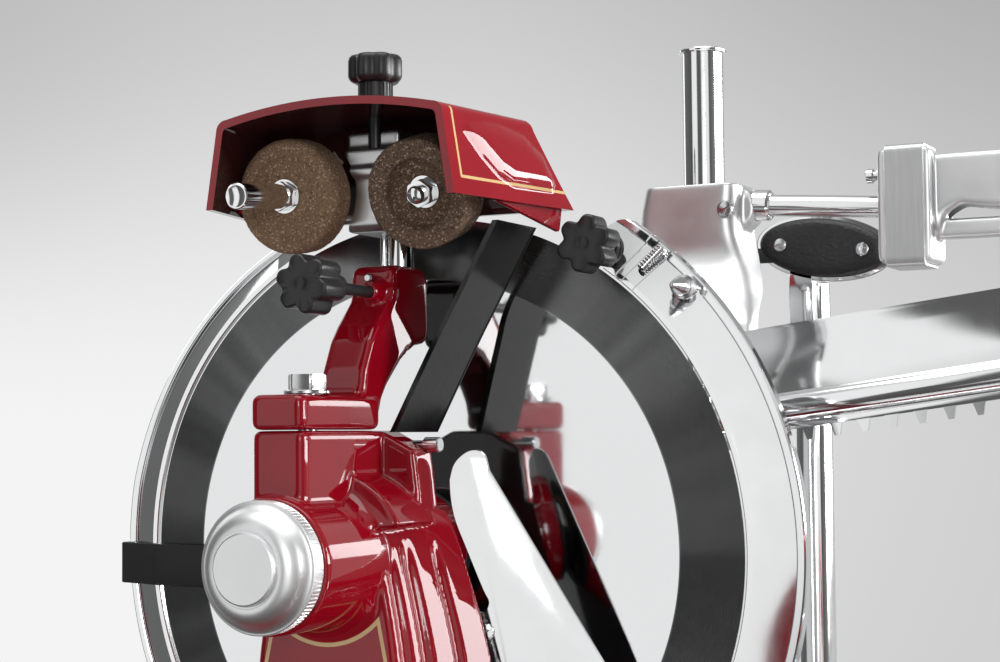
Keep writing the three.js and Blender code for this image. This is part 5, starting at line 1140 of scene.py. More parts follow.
bracketSize = {
    "front": -129.5, "back": -19.6, "bottom": 53.8, "top": 125.5, "half": 10.7, "footHalf": 12.4,
    "footBack": -66, "footTop": 68, "melt": (0.9, 5, 1),
    "arm": [(0.3, 0.02), (0.3, 0.14), (0.44, 0.2), (0.464, 0.25), (0.474, 0.35), (0.532, 0.53),
            (0.585, 0.63), (0.648, 0.725), (0.696, 0.8), (0.696, 1), (1, 1), (1, 0.59), (0.975, 0.53),
            (0.88, 0.51), (0.81, 0.48), (0.74, 0.37), (0.66, 0.26), (0.615, 0.17), (0.6, 0.08),
            (0.54, 0.02)],
    "boss": [(0, -62), (3.6, -61.5), (4.4, -58), (5.6, -54.5), (7.4, -52.4), (8, -50), (0, -50)],
    "bores": [(6.1, 77.8, 140, "z", (2.9, -31)), (2.0, 106, 140, "z", (-5.4, -32)),
              (4.3, 40, 80, "z", (3, -110)),
              (2.8, -80, -47.7, "y", knobPlaces["bracket"])],
    "setScrew": [(0, -55.6), (1.3, -55.6), (2.0, -54.9), (2.0, -51), (0, -51)], "setPlace": (-0.5, 119.6),
}


def makeBracket():
    b = bracketSize
    form = Form()
    arm = inBox(b["arm"], b["front"], b["back"], b["bottom"], b["top"])
    form.prism(rounded(arm, 9, 5), -b["half"], b["half"], "x", 2.8, 4)
    foot = rectangle(-b["footHalf"], b["footHalf"], b["front"], b["footBack"], 4.2)
    form.prism(foot, b["bottom"], b["footTop"], "z", 3, 4)
    form.lathe(b["boss"], "y", knobPlaces["bracket"], 48)
    addPiece("sharpener_arm_casting", form, "redEnamel", replaced="sharpener_bracket", sharp=50,
             melt=b["melt"], cuts=[drill(*bore, 40) for bore in b["bores"]])
    addPiece("bracket_set_screw", turned(b["setScrew"], "y", b["setPlace"], 32), "machinedSteel")


boltSize = {
    "place": (3, -110), "head": 8.3, "headLow": 69.85, "headHigh": 76.3, "shank": (4, 36, 68.6),
    "washer": [(0, 68.3), (9.3, 68.3), (9.6, 68.6), (9.6, 69.5), (9.1, 69.9), (0, 69.9)],
}


def hexHead(form, radius, low, high, axis="z", centre=(0, 0), turn=0):  # a nut with its corners turned off
    outline = circle(radius, 6, start=turn)
    flat = radius * math.cos(tau / 12)
    deep = (high - low) * 0.12
    rings = []
    for share, along in ((0.94, low), (0.985, low + deep), (0.985, high - deep), (0.94, high)):
        ring = []
        for i in range(6):
            for t in (0.0, 0.08, 0.5, 0.92):
                point = Vector(outline[i]).lerp(Vector(outline[(i + 1) % 6]), t)
                reach = max(min(point.length, radius * share), min(point.length, flat))
                point = point.normalized() * reach + Vector(centre)
                ring.append(onAxis[axis](point.x, point.y, along))
        rings.append(ring)
    form.skin(rings)


def makeBracketBolt():
    b = boltSize
    form = turned(b["washer"], "z", b["place"], 64)
    hexHead(form, b["head"], b["headLow"], b["headHigh"], "z", b["place"], 0.2)
    form.lathe(rodProfile(*b["shank"]), "z", b["place"], 32)
    addPiece("bracket_bolt_turned", form, "machinedSteel", replaced="bracket_bolt", sharp=25)


rodSize = {"guide_rod": ((2.9, -31), 5.8, 94, 159), "stop_rod": ((-5.4, -32), 1.7, 112, 157)}
rodEnd = [(0, 92.5), (1.6, 92.5), (2.4, 93.2), (2.4, 97), (0, 97)]


def makeRods():
    for name, (place, radius, low, high) in rodSize.items():
        profile = pinProfile(radius, low, high, 0.3, 0.5)
        addPiece(name + "_ground", turned(profile, "z", place, 64), "polishedSteel", replaced=name)
    addPiece("guide_rod_end", turned(rodEnd, "z", (2.9, -27), 32), "machinedSteel")


# Hood over the stones

hoodShape = {
    "rows": 82, "sideSteps": 44, "cornerSteps": 5, "crownSteps": 26, "crownRise": 5.5,
    # outline of the pressed bulge on each side, across and up, and how far it stands out
    "bulge": [(-77.6, 176.4), (-73.9, 179.4), (-62.8, 181.8), (-51.5, 182.1), (-34, 179.4), (-22, 171.5),
              (-17.5, 160), (-21, 156), (-49.2, 155.7), (-58.6, 159.3), (-67.8, 166.5)],
    "bulgeProud": 2.4, "bulgeSoft": 9,
    "lip": [(-64, 151), (-12, 139.9), (-11, 139.7), (-10.6, 141), (-10.6, 156), (-64, 156)], "lipThick": 2.2,
}


def insideDistance(point, outline):  # distance to an outline's edge, negative outside
    best, inside = 1e9, False
    here = Vector(point)
    for i, corner in enumerate(outline):
        a, b = Vector(outline[i - 1]), Vector(corner)
        edge = b - a
        share = max(0, min(1, (here - a).dot(edge) / edge.length_squared))
        best = min(best, (here - a - edge * share).length)
        if (a.y > here.y) != (b.y > here.y) and here.x < (b.x - a.x) * (here.y - a.y) / (b.y - a.y) + a.x:
            inside = not inside
    return best if inside else -best


def hoodPoint(z, along, wall):  # depth and half width at a height and at a share of the depth
    h = hoodSize
    low = max(h["bottom"], z)
    back = h["back"] + (h["backTop"] - h["back"]) * (low - h["bottom"]) / (h["crown"] - h["bottom"]) - wall
    y = h["front"] + (back - h["front"]) * along
    up = (z - h["bottom"]) / (h["side"] - h["bottom"])
    frontHalf = h["frontLow"] + (h["frontHigh"] - h["frontLow"]) * up
    backHalf = h["backLow"] + (h["backHigh"] - h["backLow"]) * up
    return y, frontHalf + (backHalf - frontHalf) * (y - h["front"]) / (h["back"] - h["front"])


def hoodRow(along, wall):  # one section, from the lower left edge over the crown to the right
    h, s = hoodSize, hoodShape
    top = h["side"] - wall
    corner = h["corner"] - wall * 0.6
    row = []
    for k in range(s["sideSteps"] + 1):
        z = h["bottom"] + (top - corner - h["bottom"]) * k / s["sideSteps"]
        y, half = hoodPoint(z, along, wall)
        if not wall:
            t = max(0, min(1, (insideDistance((y, z), s["bulge"]) + 0.4) / s["bulgeSoft"]))
            half += s["bulgeProud"] * (1 - (1 - t) ** 2.2)
        row.append((half - wall, y, z))
    half = row[-1][0]
    for k in range(1, s["cornerSteps"] + 1):
        t = k / (s["cornerSteps"] + 1) * tau / 4
        z = top - corner + corner * math.sin(t)
        row.append((half - corner * (1 - math.cos(t)), hoodPoint(z, along, wall)[0], z))
    mirrored = [(-x, y, z) for x, y, z in reversed(row)]
    for k in range(s["crownSteps"] + 1):
        across = 1 - 2 * k / s["crownSteps"]
        z = top + s["crownRise"] * (1 - across * across)
        row.append(((half - corner) * across, hoodPoint(z, along, wall)[0], z))
    return row + mirrored


def makeHood():
    form = Form()
    face = form.mesh.faces.new
    grids = [[form.points([Vector(p) for p in hoodRow(r / hoodShape["rows"], wall)])
              for r in range(hoodShape["rows"] + 1)] for wall in (0, hoodSize["wall"])]
    outer, inner = grids
    for grid in grids:
        for low, high in zip(grid, grid[1:]):
            for i in range(len(low) - 1):
                face((low[i], low[i + 1], high[i + 1], high[i]))
        face(grid[-1])
    last = len(outer[0]) - 1
    for i in range(last):
        face((outer[0][i], outer[0][i + 1], inner[0][i + 1], inner[0][i]))
    for r in range(len(outer) - 1):
        for i in (0, last):
            face((outer[r][i], outer[r + 1][i], inner[r + 1][i], inner[r][i]))
    face((outer[-1][0], outer[-1][last], inner[-1][last], inner[-1][0]))
    addPiece("hood_shell", form, "hoodEnamel", "sharpener", "sharpener_hood", sharp=38, bevel=0.7,
             cuts=[drill(3.4, 170, 200, "z", hoodKnobSize["place"], 32)])


def makeHoodLip():
    h = hoodSize
    form = Form()
    flare = (h["backLow"] - h["frontLow"]) / (h["back"] - h["front"])
    for side in (1, -1):
        form.place = Matrix.Diagonal((side, 1, 1, 1))
        rings = []
        for inward in (0, hoodShape["lipThick"]):
            rings.append([Vector((57.4 + (y - h["front"]) * flare - (156 - z) * 0.12 - inward, y, z))
                          for y, z in hoodShape["lip"]])
        form.skin(rings)
    addPiece("hood_lower_lip", form, "redEnamel", "sharpener", sharp=38, bevel=0.5)
    screw = Form(Matrix.Translation((52, -36, 187.6)) @ Matrix.Rotation(math.radians(12), 4, "Y"))
    screw.take(screwForm(3.2, 2.0))
    addPiece("hood_screw", screw, "machinedSteel", "sharpener")


# Stones, their spindles and the casting between them

stoneSize = {
    "left": {"place": (-33, -70, 155.5), "tilt": 6,
             "profile": [(5.8, 0), (16.9, 0), (17.2, 0.35), (17.9, 0.35), (18.2, 0), (21.5, 0), (23.2, 0.5),
                         (24.4, 1.6), (25, 3.2), (25, 13.2), (24.4, 14), (5.8, 14)]},
    "right": {"place": (26.5, -60, 153.5), "tilt": 17,
              "profile": [(4.3, 8), (12.2, 8), (13.6, 7.2), (14.8, 5.2), (15.4, 1.2), (16.2, 0.2), (17, 0),
                          (22.6, 0), (23.6, 0.5), (24, 1.5), (24, 17), (23.2, 18), (4.3, 18)]},
    "grain": 0.9, "chips": 0.16, "smoothWithin": 9,
}


def onStone(side):  # a frame on a stone's front face, its length along Y
    s = stoneSize[side]
    return Matrix.Translation(s["place"]) @ Matrix.Rotation(math.radians(s["tilt"]), 4, "X")


def makeStones():
    chance = random.Random(7)
    for side, finish in (("left", "tanStone"), ("right", "brownStone")):
        profile = [Vector(point) for point in stoneSize[side]["profile"]]
        dense = []
        for point, after in zip(profile, profile[1:]):
            pieces = max(1, int((after - point).length / stoneSize["grain"]))
            dense += [tuple(point.lerp(after, k / pieces)) for k in range(pieces)]
        form = turned(dense + [tuple(profile[-1])], "y", steps=168, place=onStone(side))
        for vertex in form.mesh.verts:
            if (vertex.co - Vector(stoneSize[side]["place"])).length > stoneSize["smoothWithin"]:
                vertex.co += Vector([chance.uniform(-1, 1) for _ in range(3)]) * stoneSize["chips"]
        addPiece("stone_" + side + "_grit", form, finish, side + "_stone", "stone_" + side, sharp=60)


spindleSize = {  # body, profile, and the radius, front and back of the nut and the washer
    "left": ("left_spindle",
             [(0, -36.6), (3.6, -37.4), (4.6, -38), (5.1, -38), (5.5, -37.5), (5.5, 33.5), (5, 34), (0, 34)],
             (6.6, -5.3, -0.9), (7.6, -0.9, -0.3)),
    "right": ("sharpener",
              [(0, -3.2), (1.8, -3.0), (3.2, -2.2), (3.9, -1.0), (4, 0), (4, 33.5), (3.6, 34), (0, 34)],
              (6.2, 1.7, 7.1), (7.2, 7.1, 7.7)),
}


def makeSpindles():
    for side, (body, profile, nut, washer) in spindleSize.items():
        form = turned(profile, "y", steps=72, place=onStone(side))
        hexHead(form, *nut, "y", turn=0.35)
        radius, low, high = washer
        form.lathe([(0, low), (radius - 0.2, low)] + rodProfile(radius, low + 0.2, high)[1:], "y", steps=64)
        addPiece("spindle_" + side + "_turned", form, "polishedSteel", body, "spindle_" + side, sharp=25)


carrierSize = {
    "half": 13, "melt": (0.9, 4, 1),
    "core": [(-54, 143), (-50, 140), (-22, 140), (-22, 158), (-37, 184), (-51, 184), (-51, 176.5),
             (-54, 176.5), (-54, 168), (-56.5, 168), (-56.5, 164.5), (-54, 163)],
    # depth behind the stone's face, two corners of its arm, radius of the shaft's bore and the stone's room
    "sides": {"left": (26, (-33, -40, 148), (0, -30, 163), 5.9, 26.5),
              "right": (18, (0, -38, 146), (26.5, -28, 161), 4.4, 25.5)},
    "bores": [(6.15, 130, 162.5, "z", (2.9, -31)), (2.1, 130, 160.5, "z", (-5.4, -32)),
              (3.4, 171.7, 190, "z", (1, -50))],
}


def makeCarrier():
    c = carrierSize
    form = Form()
    form.prism(rounded(c["core"], 1.2), -c["half"], c["half"], "x", 1.2, 3)
    cutters = []
    for side, (behind, low, high, shaft, room) in c["sides"].items():
        form.place = onStone(side)
        boss = behind + 3
        form.lathe([(0, boss), (8.2, boss), (9, boss + 0.8), (9, boss + 16.5), (0, boss + 17)], "y", steps=64)
        form.place = still
        form.block(low, high, 1.4)
        cutters += [drill(shaft, -6, boss + 30, "y", steps=64, place=onStone(side)),
                    drill(room, -6, behind + 1.5, "y", steps=64, place=onStone(side))]
    cutters += [drill(*bore, 40) for bore in c["bores"]]
    addPiece("sharpener_carrier_casting", form, "castAluminium", "sharpener", "sharpener_body", sharp=50,
             melt=c["melt"], cuts=cutters)


# Slice deflector

deflectorSize = {
    "left": 33, "right": 126, "bottom": -75, "top": 45, "front": -45.7, "thickness": 1.6,
    "narrower": 0.834, "turned": 0.4, "bentFrom": 22, "bent": 0.012,
    "outline": [(0, 0.892), (0.012, 0.95), (0.054, 0.9875), (0.108, 1), (0.161, 0.983), (0.199, 0.925),
                (0.763, 0.275), (1, 0), (0.355, 0), (0.183, 0.125), (0.098, 0.25), (0.078, 0.325),
                (0.097, 0.4), (0.14, 0.425), (0.183, 0.428), (0.203, 0.461), (0.173, 0.506),
                (0.0925, 0.645), (0.027, 0.767)],
    "screw": (51.3, -32.3, 3.4, 1.4),
}


def makeDeflector():
    d = deflectorSize
    form = Form()
    outline = inBox(d["outline"], d["left"], d["right"], d["bottom"], d["top"])
    smooth = flowing(outline[:6], 4) + outline[6:9] + flowing(outline[9:] + outline[:1], 4)[:-1]
    form.prism(smooth, d["front"], d["front"] + d["thickness"], "y", 0.35, 2)
    x, z, radius, height = d["screw"]
    form.take(screwForm(radius, height), upright(x, d["front"], z) @ Matrix.Rotation(0.6, 4, "Z"))
    for vertex in form.mesh.verts:
        out = (vertex.co.x - d["left"]) * d["narrower"]
        vertex.co.x = d["left"] + out
        vertex.co.y += out * d["turned"] + max(0, vertex.co.z - d["bentFrom"]) ** 2 * d["bent"]
    addPiece("deflector_polished", form, "polishedSteel", replaced="deflector_plate", sharp=25)


deflectorArmSize = {
    "wide": 2.6, "lip": 0.3, "lipFrom": 37, "lipTo": 37.9,
    # height, place across, front and back
    "rows": [(52.7, 14.4, -63, -25), (92, 30, -52.5, -14.5), (110, 38, -48, -10), (142.3, 56, -47, -9)],
    "pin": [(0, 12), (2, 12), (2, 26), (3.3, 26), (3.3, 32.5), (2.8, 33), (0, 33)], "pinPlace": (-52, 47.2),
}


def section(left, right, front, back, z):
    return [Vector(p) for p in ((left, front, z), (right, front, z), (right, back, z), (left, back, z))]


def makeDeflectorArm():
    a = deflectorArmSize
    bars, lips = [], []
    for z, x, front, back in flowing(a["rows"], 6):
        edge = x + a["wide"]
        bars.append(section(x, edge, front, back, z))
        lips.append(section(edge - a["lip"], edge + a["lip"], front + a["lipFrom"], front + a["lipTo"], z))
    form = Form()
    form.skin(bars)
    form.look = 1
    form.skin(lips)
    addPiece("deflector_arm_bar", form, "darkSteel machinedSteel", replaced="deflector_arm", sharp=25)
    addPiece("deflector_pin_turned", turned(a["pin"], "x", a["pinPlace"]), "polishedSteel",
             replaced="deflector_pin")


# Posts and meat clamp

postFoot = [(0, -119.7), (16.4, -119.7), (17, -119.1), (17, -115.5), (16, -114.3), (11.5, -112.2),
            (10.2, -111.4), (10, -110.5)]
postTops = {
    "front": ((95, 106), [(10, 236), (11.3, 236), (11.7, 236.3), (11.7, 237.2), (11.2, 237.8), (8, 238.2),
                          (4, 238.5), (0, 238.6)]),
    "rear": ((112, 221), [(10, 130), (9.2, 131), (0, 131)]),
}


def makePosts():
    for side, (place, top) in postTops.items():
        form = turned(postFoot + top, "z", place, 120)
        addPiece("post_" + side + "_turned", form, "polishedSteel", "table", "post_" + side, sharp=28)


clampSize = {
    "post": (95, 106), "melt": (1.0, 5, 1),
    "sections": [(170, -1.5, 0, 23.5, 19), (150, -3.5, 0, 24.5, 18.5), (134, 3, -3, 22, 17),
                 (118, 17, -16, 14.5, 14), (101, 31, -38, 7, 8), (78, 33, -41, 6, 6.5)],
    "corner": 8, "sleeve": (15.5, 128, 170),
    "knuckleX": 112.3, "knuckleZ": 158.5, "knuckle": (11, 98, 114, 1.5),
    "screwZ": 157, "screwY": 88, "shank": (3.4, 87, 101), "postBore": (10.3, 60, 190),
    "barBore": [(0, -12), (5.5, -12), (5.5, -0.3), (7.7, -0.3), (7.7, 60), (0, 60)],
    "barStart": (120, 106, 160.4), "barSlope": -4.2,
    "bar": [(0, 0), (6.6, 0), (7.4, 0.8), (7.4, 8), (6.4, 9), (5.15, 9.2), (5.15, 83.5), (4.6, 84), (0, 84)],
}


def onBar():
    c = clampSize
    return Matrix.Translation(c["barStart"]) @ Matrix.Rotation(-math.radians(c["barSlope"]), 4, "Y")


def makeClampBracket():
    c = clampSize
    px, py = c["post"]
    form = Form()
    rings = []
    for z, x, y, half, deep in flowing(c["sections"], 6):
        section = rectangle(x - half, x + half, y - deep, y + deep, min(c["corner"], half * 0.8, deep * 0.8))
        rings.append([Vector((px + a, py + b, z)) for a, b in section])
    form.skin(rings)
    form.lathe(rodProfile(*c["sleeve"]), "z", c["post"], 64)
    form.lathe(pinProfile(*c["knuckle"]), "y", (c["knuckleX"], c["knuckleZ"]), 64)
    cutters = [drill(*c["postBore"], "z", c["post"], 72), turned(c["barBore"], "x", place=onBar())]
    addPiece("clamp_bracket_casting", form, "polishedCasting", "clamp", "clamp_bracket", sharp=50,
             melt=c["melt"], cuts=cutters)
    screw = Form()
    place = upright(c["knuckleX"], c["screwY"], c["screwZ"]) @ Matrix.Rotation(0.5, 4, "Z")
    screw.take(screwForm(4.2, 2.2), place)
    screw.lathe(rodProfile(*c["shank"]), "y", (c["knuckleX"], c["screwZ"]), 32)
    addPiece("clamp_bracket_screw", screw, "machinedSteel", "clamp")
    addPiece("clamp_bar_ground", turned(c["bar"], "x", steps=72, place=onBar()), "polishedSteel", "clamp",
             "clamp_bar")


blockSize = {
    "left": 184, "right": 209, "front": 92, "back": 120, "bottom": 128, "top": 181, "corner": 4,
    "melt": (0.9, 4, 1),
    "arm": [(206, 178), (262, 178), (286, 175), (345, 170), (345, 152), (300, 150), (258, 150.5),
            (234, 152), (221, 154), (214, 150), (211, 140), (206, 136)],
    "bar": (206, 345, 139, 148, 3.5), "web": (325, 344, 141, 156, 3), "barFront": 100, "barBack": 112,
    "armFront": 98, "armBack": 114, "barBore": (5.5, 50, 110), "plungerBore": (1.9, 178, 190.3),
}
plungerPlace = (106, 170.5)
plungerProfile = [
    (0, 175.5), (2.6, 175.5), (3.4, 176.1), (3.4, 178.9), (2.9, 179.4), (2.3, 179.6), (2.3, 180.6),
    (3.2, 181), (3.2, 182.9), (2.2, 183.6), (1.5, 183.7), (1.5, 190), (0, 190),
]


def makeClampBlock():
    b = blockSize
    form = Form()
    face = rectangle(b["left"], b["right"], b["bottom"], b["top"], b["corner"])
    form.prism(face, b["front"], b["back"], "y", 1.6, 3)
    form.prism(rounded(b["arm"], 6), b["armFront"], b["armBack"], "y", 3, 4)
    form.prism(rectangle(*b["bar"]), b["barFront"], b["barBack"], "y", 2.6, 4)
    form.prism(rectangle(*b["web"]), b["barFront"], b["barBack"], "y", 2, 3)
    addPiece("clamp_block_casting", form, "polishedCasting", "clamp_block", "clamp_block", sharp=50,
             melt=b["melt"], cuts=[drill(*b["barBore"], "x", place=onBar()),
                                   drill(*b["plungerBore"], "x", plungerPlace, 32)])
    addPiece("plunger_turned", turned(plungerProfile, "x", plungerPlace), "polishedSteel", "plunger",
             "plunger_pin")


strapBandSize = {"left": 188, "right": 206, "thick": 1.4, "depth": 24, "gap": 0.3, "bend": 3}


def makeClampStrap():
    b, s = blockSize, strapBandSize
    front, low, high, t = b["front"] - s["gap"], b["bottom"] - s["gap"], b["top"] + s["gap"], s["thick"]
    end = front + s["depth"]
    inner = rounded([(end, high), (front, high), (front, low), (end, low)], s["bend"], 6, False)
    outer = rounded([(end, low - t), (front - t, low - t), (front - t, high + t), (end, high + t)],
                    s["bend"] + t, 6, False)
    form = Form()
    form.prism(inner + outer, s["left"], s["right"], "x", 0.25, 1)
    addPiece("clamp_strap_bent", form, "brushedSteel", "clamp_block", "clamp_strap")


pressSize = {
    "place": (153, 45, 62), "slope": 7.3, "left": -34, "right": 188, "sheet": 2.2, "bead": 6.6, "top": 37,
    "lean": 5, "bow": 3, "ribLow": (-27.5, 2.2, 0), "ribHigh": (-20.5, 13.2, 32), "steps": 16,
    "teeth": 17, "pitch": 12.6, "stripRight": 180.2, "stripTop": -6.9, "stripLow": -9.9,
    "stripThick": 1.5,
    "tooth": [(-3.6, 0.2), (-3, 0), (-2.5, -0.6), (-1.2, -5.4), (1.2, -5.4), (2.5, -0.6), (3, 0), (3.6, 0.2)],
}


def onPress():
    p = pressSize
    return Matrix.Translation(p["place"]) @ Matrix.Rotation(-math.radians(p["slope"]), 4, "Y")


def makePress():
    p = pressSize
    form = Form(onPress())
    low = p["bead"] * 0.6
    face = []
    for k in range(p["steps"] + 1):
        share = k / p["steps"]
        back = p["lean"] * share + p["bow"] * math.sin(share * tau / 2)
        face.append((back, low + (p["top"] - low) * share))
    form.prism(face + [(y + p["sheet"], z) for y, z in reversed(face)], p["left"], p["right"], "x", 0.5, 2)
    form.prism(circle(p["bead"], 72, p["sheet"] / 2, 0), p["left"], p["right"], "x", 1, 3)
    form.block(p["ribLow"], p["ribHigh"], 0.8)
    addPiece("press_plate_formed", form, "polishedSteel", "clamp", "press_plate", sharp=25)


def makeToothStrip():
    p = pressSize
    form = Form(onPress())
    form.block((p["left"], 0, p["stripLow"]), (p["stripRight"], p["stripThick"], p["stripTop"]), 0.2)
    tooth = Form()
    tooth.prism(p["tooth"], 0.02, p["stripThick"] - 0.02, "y")
    form.take(spread(tooth, "polishedSteel", count=p["teeth"], pitch=p["pitch"]),
              Matrix.Translation((p["left"] + p["pitch"] / 2, 0, p["stripLow"])))
    addPiece("tooth_strip_cut", form, "polishedSteel", "clamp", "tooth_strip", sharp=25)


leverSize = {
    "centre": (125, 147.6), "front": 203, "length": 74, "height": 35, "plate": 2.6, "tilt": 0.1,
    "gripLength": 69, "gripHeight": 31, "gripThick": 5.5, "gripBack": 202.7, "post": (112, 221),
    "hub": (15, 108, 124), "stalk": 6.5, "screws": (-22, 22), "tab": (78.5, 125, 141, 149, 2),
    # share of the grip's thickness, share of its outline
    "grip": [(0, 0.3), (0.02, 0.62), (0.1, 0.8), (0.28, 0.92), (0.55, 0.985), (0.8, 1.0), (1, 0.99)],
}


def tiltedOval(length, height, centre=(0, 0), count=96):
    return [(centre[0] + length * x, centre[1] + height * y - length * x * leverSize["tilt"])
            for x, y in circle(0.5, count)]


def makeLever():
    v = leverSize
    px, py = v["post"]
    radius, low, high = v["hub"]
    front, back = v["front"], v["front"] + v["plate"]
    form = Form()
    form.prism(tiltedOval(v["length"], v["height"], v["centre"]), front, back, "y", 0.6, 2)
    form.lathe(pinProfile(radius, low, high, 1), "z", v["post"], 72)
    form.block((px - v["stalk"], front, low), (px + v["stalk"], back, v["centre"][1]), 0.5)
    form.block((px - v["stalk"], front, low), (px + v["stalk"], py, high), 1.2)
    addPiece("lever_plate_polished", form, "polishedSteel", "lever", "clamp_lever",
             cuts=[drill(10.35, 100, 132, "z", v["post"], 72)])


def makeGrip():
    v = leverSize
    cx, cz = v["centre"]
    back, thick = v["gripBack"], v["gripThick"]
    outline = tiltedOval(v["gripLength"], v["gripHeight"])
    form = Form()
    form.skin([[Vector((cx + a, back - thick * (1 - share), cz + b)) for a, b in scaled(outline, scale)]
               for share, scale in v["grip"]])
    form.prism(rectangle(*v["tab"]), back - 2.7, back, "y", 0.8, 2)
    addPiece("lever_grip_moulded", form, "pebbledGrip", "lever", "lever_grip", sharp=45)
    screws = Form()
    for k, along in enumerate(v["screws"]):
        place = upright(cx + along, back - thick * 0.94, cz - along * v["tilt"])
        screws.take(screwForm(3.6, 1.5), place @ Matrix.Rotation(0.4 + k, 4, "Z"))
    addPiece("lever_grip_screws", screws, "machinedSteel", "lever")


# Base, feet and rails

baseSize = {
    "left": -180, "right": 540, "front": -125, "back": 265, "bottom": -320, "top": -185, "wall": 8,
    "corner": 42, "waist": 18, "cornerSteps": 14,
    "rows": [(0.08, 0), (0.2, 0.55), (0.45, 1), (0.85, 0.9), (1, 0.65)],
    "earHalf": 18, "earThick": 16, "bossRadius": 24, "bossInset": 36, "columnY": -69, "flywheelX": 465,
    "webWide": 44, "webThick": 14, "webDrop": 48, "webInset": 70,
    "foot": [(0, -345.3), (19, -345.3), (20, -344.3), (20, -340), (18.6, -338.2), (17.2, -335.5), (17, -333),
             (18.2, -330), (21.4, -327.4), (23, -325.4), (23, -321), (22.4, -320.3), (0, -320.3)],
    "feet": ("foot_front_left", "foot_front_right", "foot_rear_left", "foot_rear_right"),
}
railSize = {"places": {"front": 78, "rear": 232}, "z": -166, "left": -160, "right": 520, "radius": 10}


def plan(size, inset, corner, steps):  # a rounded rectangle, seen from above
    return rectangle(size["left"] + inset, size["right"] - inset, size["front"] + inset, size["back"] - inset,
                     corner, steps)


def footPlaces():
    b = baseSize
    inset = b["bossInset"]
    across = (b["left"] + inset, b["right"] - inset)
    return [(x, y) for y in (b["front"] + inset, b["back"] - inset) for x in across]


def makeBase():
    b = baseSize
    low, top = b["bottom"], b["top"]
    rim = [(low, 0), (low + 3, 0)] + [(low + (top - low) * up, b["waist"] * inward)
                                      for up, inward in flowing(b["rows"], 6)]
    last = rim[-1][1]
    rim = [(z, inset) for z, inset in rim if z < top - 3.5]
    rows = [(top, last + 3.4), (top - 0.4, last + 1.7), (top - 1.4, last + 0.5), (top - 3, last)] + rim[::-1]
    rows += [(z, inset + b["wall"]) for z, inset in rim if z < top - b["wall"] - 4]
    rows.append((top - b["wall"], last + b["wall"]))
    form = Form()
    form.skin([[Vector((x, y, z)) for x, y in plan(b, inset, b["corner"] - inset, b["cornerSteps"])]
               for z, inset in rows])
    addPiece("base_shell", form, "redEnamel", replaced="base_casting", sharp=40,
             cuts=[drill(18.6, -200, -180, "z", (0, b["columnY"]), 64),
                   box((b["flywheelX"] - 58.5, -25, -200), (b["flywheelX"] + 58.5, -3, -180))])


def makeWebs():  # the bosses over the feet and the webs that carry the bearings, inside the base
    b = baseSize
    form = Form()
    under = b["top"] - b["wall"] / 2 - 1
    for place in footPlaces():
        form.lathe(rodProfile(b["bossRadius"], b["bottom"] + 0.3, under), "z", place, 48)
    half, thick, low = b["webWide"] / 2, b["webThick"], under - b["webDrop"]
    for x in (b["webInset"], b["flywheelX"] - b["webInset"]):
        form.block((x - thick / 2, b["columnY"] - half, low), (x + thick / 2, b["columnY"] + half, under), 1)
    form.block((b["flywheelX"] - half, 2, low), (b["flywheelX"] + half, 2 + thick, under), 1)
    addPiece("base_webs", form, "redEnamel", sharp=35)


def makeEars():
    b, r = baseSize, railSize
    half, z = b["earHalf"], r["z"]
    for name, x, start, end in (("left", r["left"], 8, 30), ("right", r["right"] - b["earThick"], -30, 8)):
        form = Form()
        for y in r["places"].values():
            ear = rectangle(y - half, y + half, b["top"] - 3, z + half, 9, 8)
            form.prism(ear, x, x + b["earThick"], "x", 1.6, 3)
        addPiece("rail_ears_" + name, form, "redEnamel", sharp=35,
                 cuts=[drill(10.3, x + start, x + end, "x", (y, z), 64) for y in r["places"].values()])


def makeFeet():
    for name, place in zip(baseSize["feet"], footPlaces()):
        form = turned(baseSize["foot"], "z", place, 72)
        addPiece(name + "_rubber", form, "rubber", replaced=name, sharp=40)


def makeRails():
    r = railSize
    for name, y in r["places"].items():
        profile = pinProfile(r["radius"], r["left"] + 8.3, r["right"] - 8.3, 0.6)
        addPiece("rail_" + name + "_ground", turned(profile, "x", (y, r["z"]), 96), "polishedSteel",
                 replaced="rail_" + name)


traySize = {
    "left": 86, "right": 276, "front": -122, "back": -24, "z": -172, "corner": 16,
    # height over the tray's underside, inset
    "rows": [(0, 4.5), (0.6, 3.3), (2, 2.6), (8.2, 0.2), (8.8, 0.3), (9, 0.8), (8.8, 1.6), (3.2, 4.1),
             (1.6, 6.1)],
    "ribs": (116, 236), "ribWide": 10, "ribFront": -107, "ribBack": -54, "ribLow": -184.7, "ribTop": -171.2,
}


def makeTray():
    t = traySize
    form = Form()
    form.skin([[Vector((x, y, t["z"] + up)) for x, y in plan(t, inset, t["corner"] - inset * 0.5, 10)]
               for up, inset in t["rows"]])
    for x in t["ribs"]:
        form.block((x, t["ribFront"], t["ribLow"]), (x + t["ribWide"], t["ribBack"], t["ribTop"]), 0.6)
    addPiece("slice_tray_pressed", form, "brushedSteel", replaced="slice_tray")


# Carriage, meat table and their drives

carriageSize = {
    "left": 70, "right": 390, "front": 50, "back": 262, "deck": -147, "top": -135, "corner": 14,
    "bush": 60, "bushHalf": 16, "slot": (217, 243, 75, 250, 5), "guides": (160, 300), "guideHalf": 9,
    "guideDeep": 4.4, "screwBlock": 10, "seatHalf": 16, "stemBore": (5.1, 370, 396),
}
feedPlace = (230, -149)
dialPlace = (150, -160)


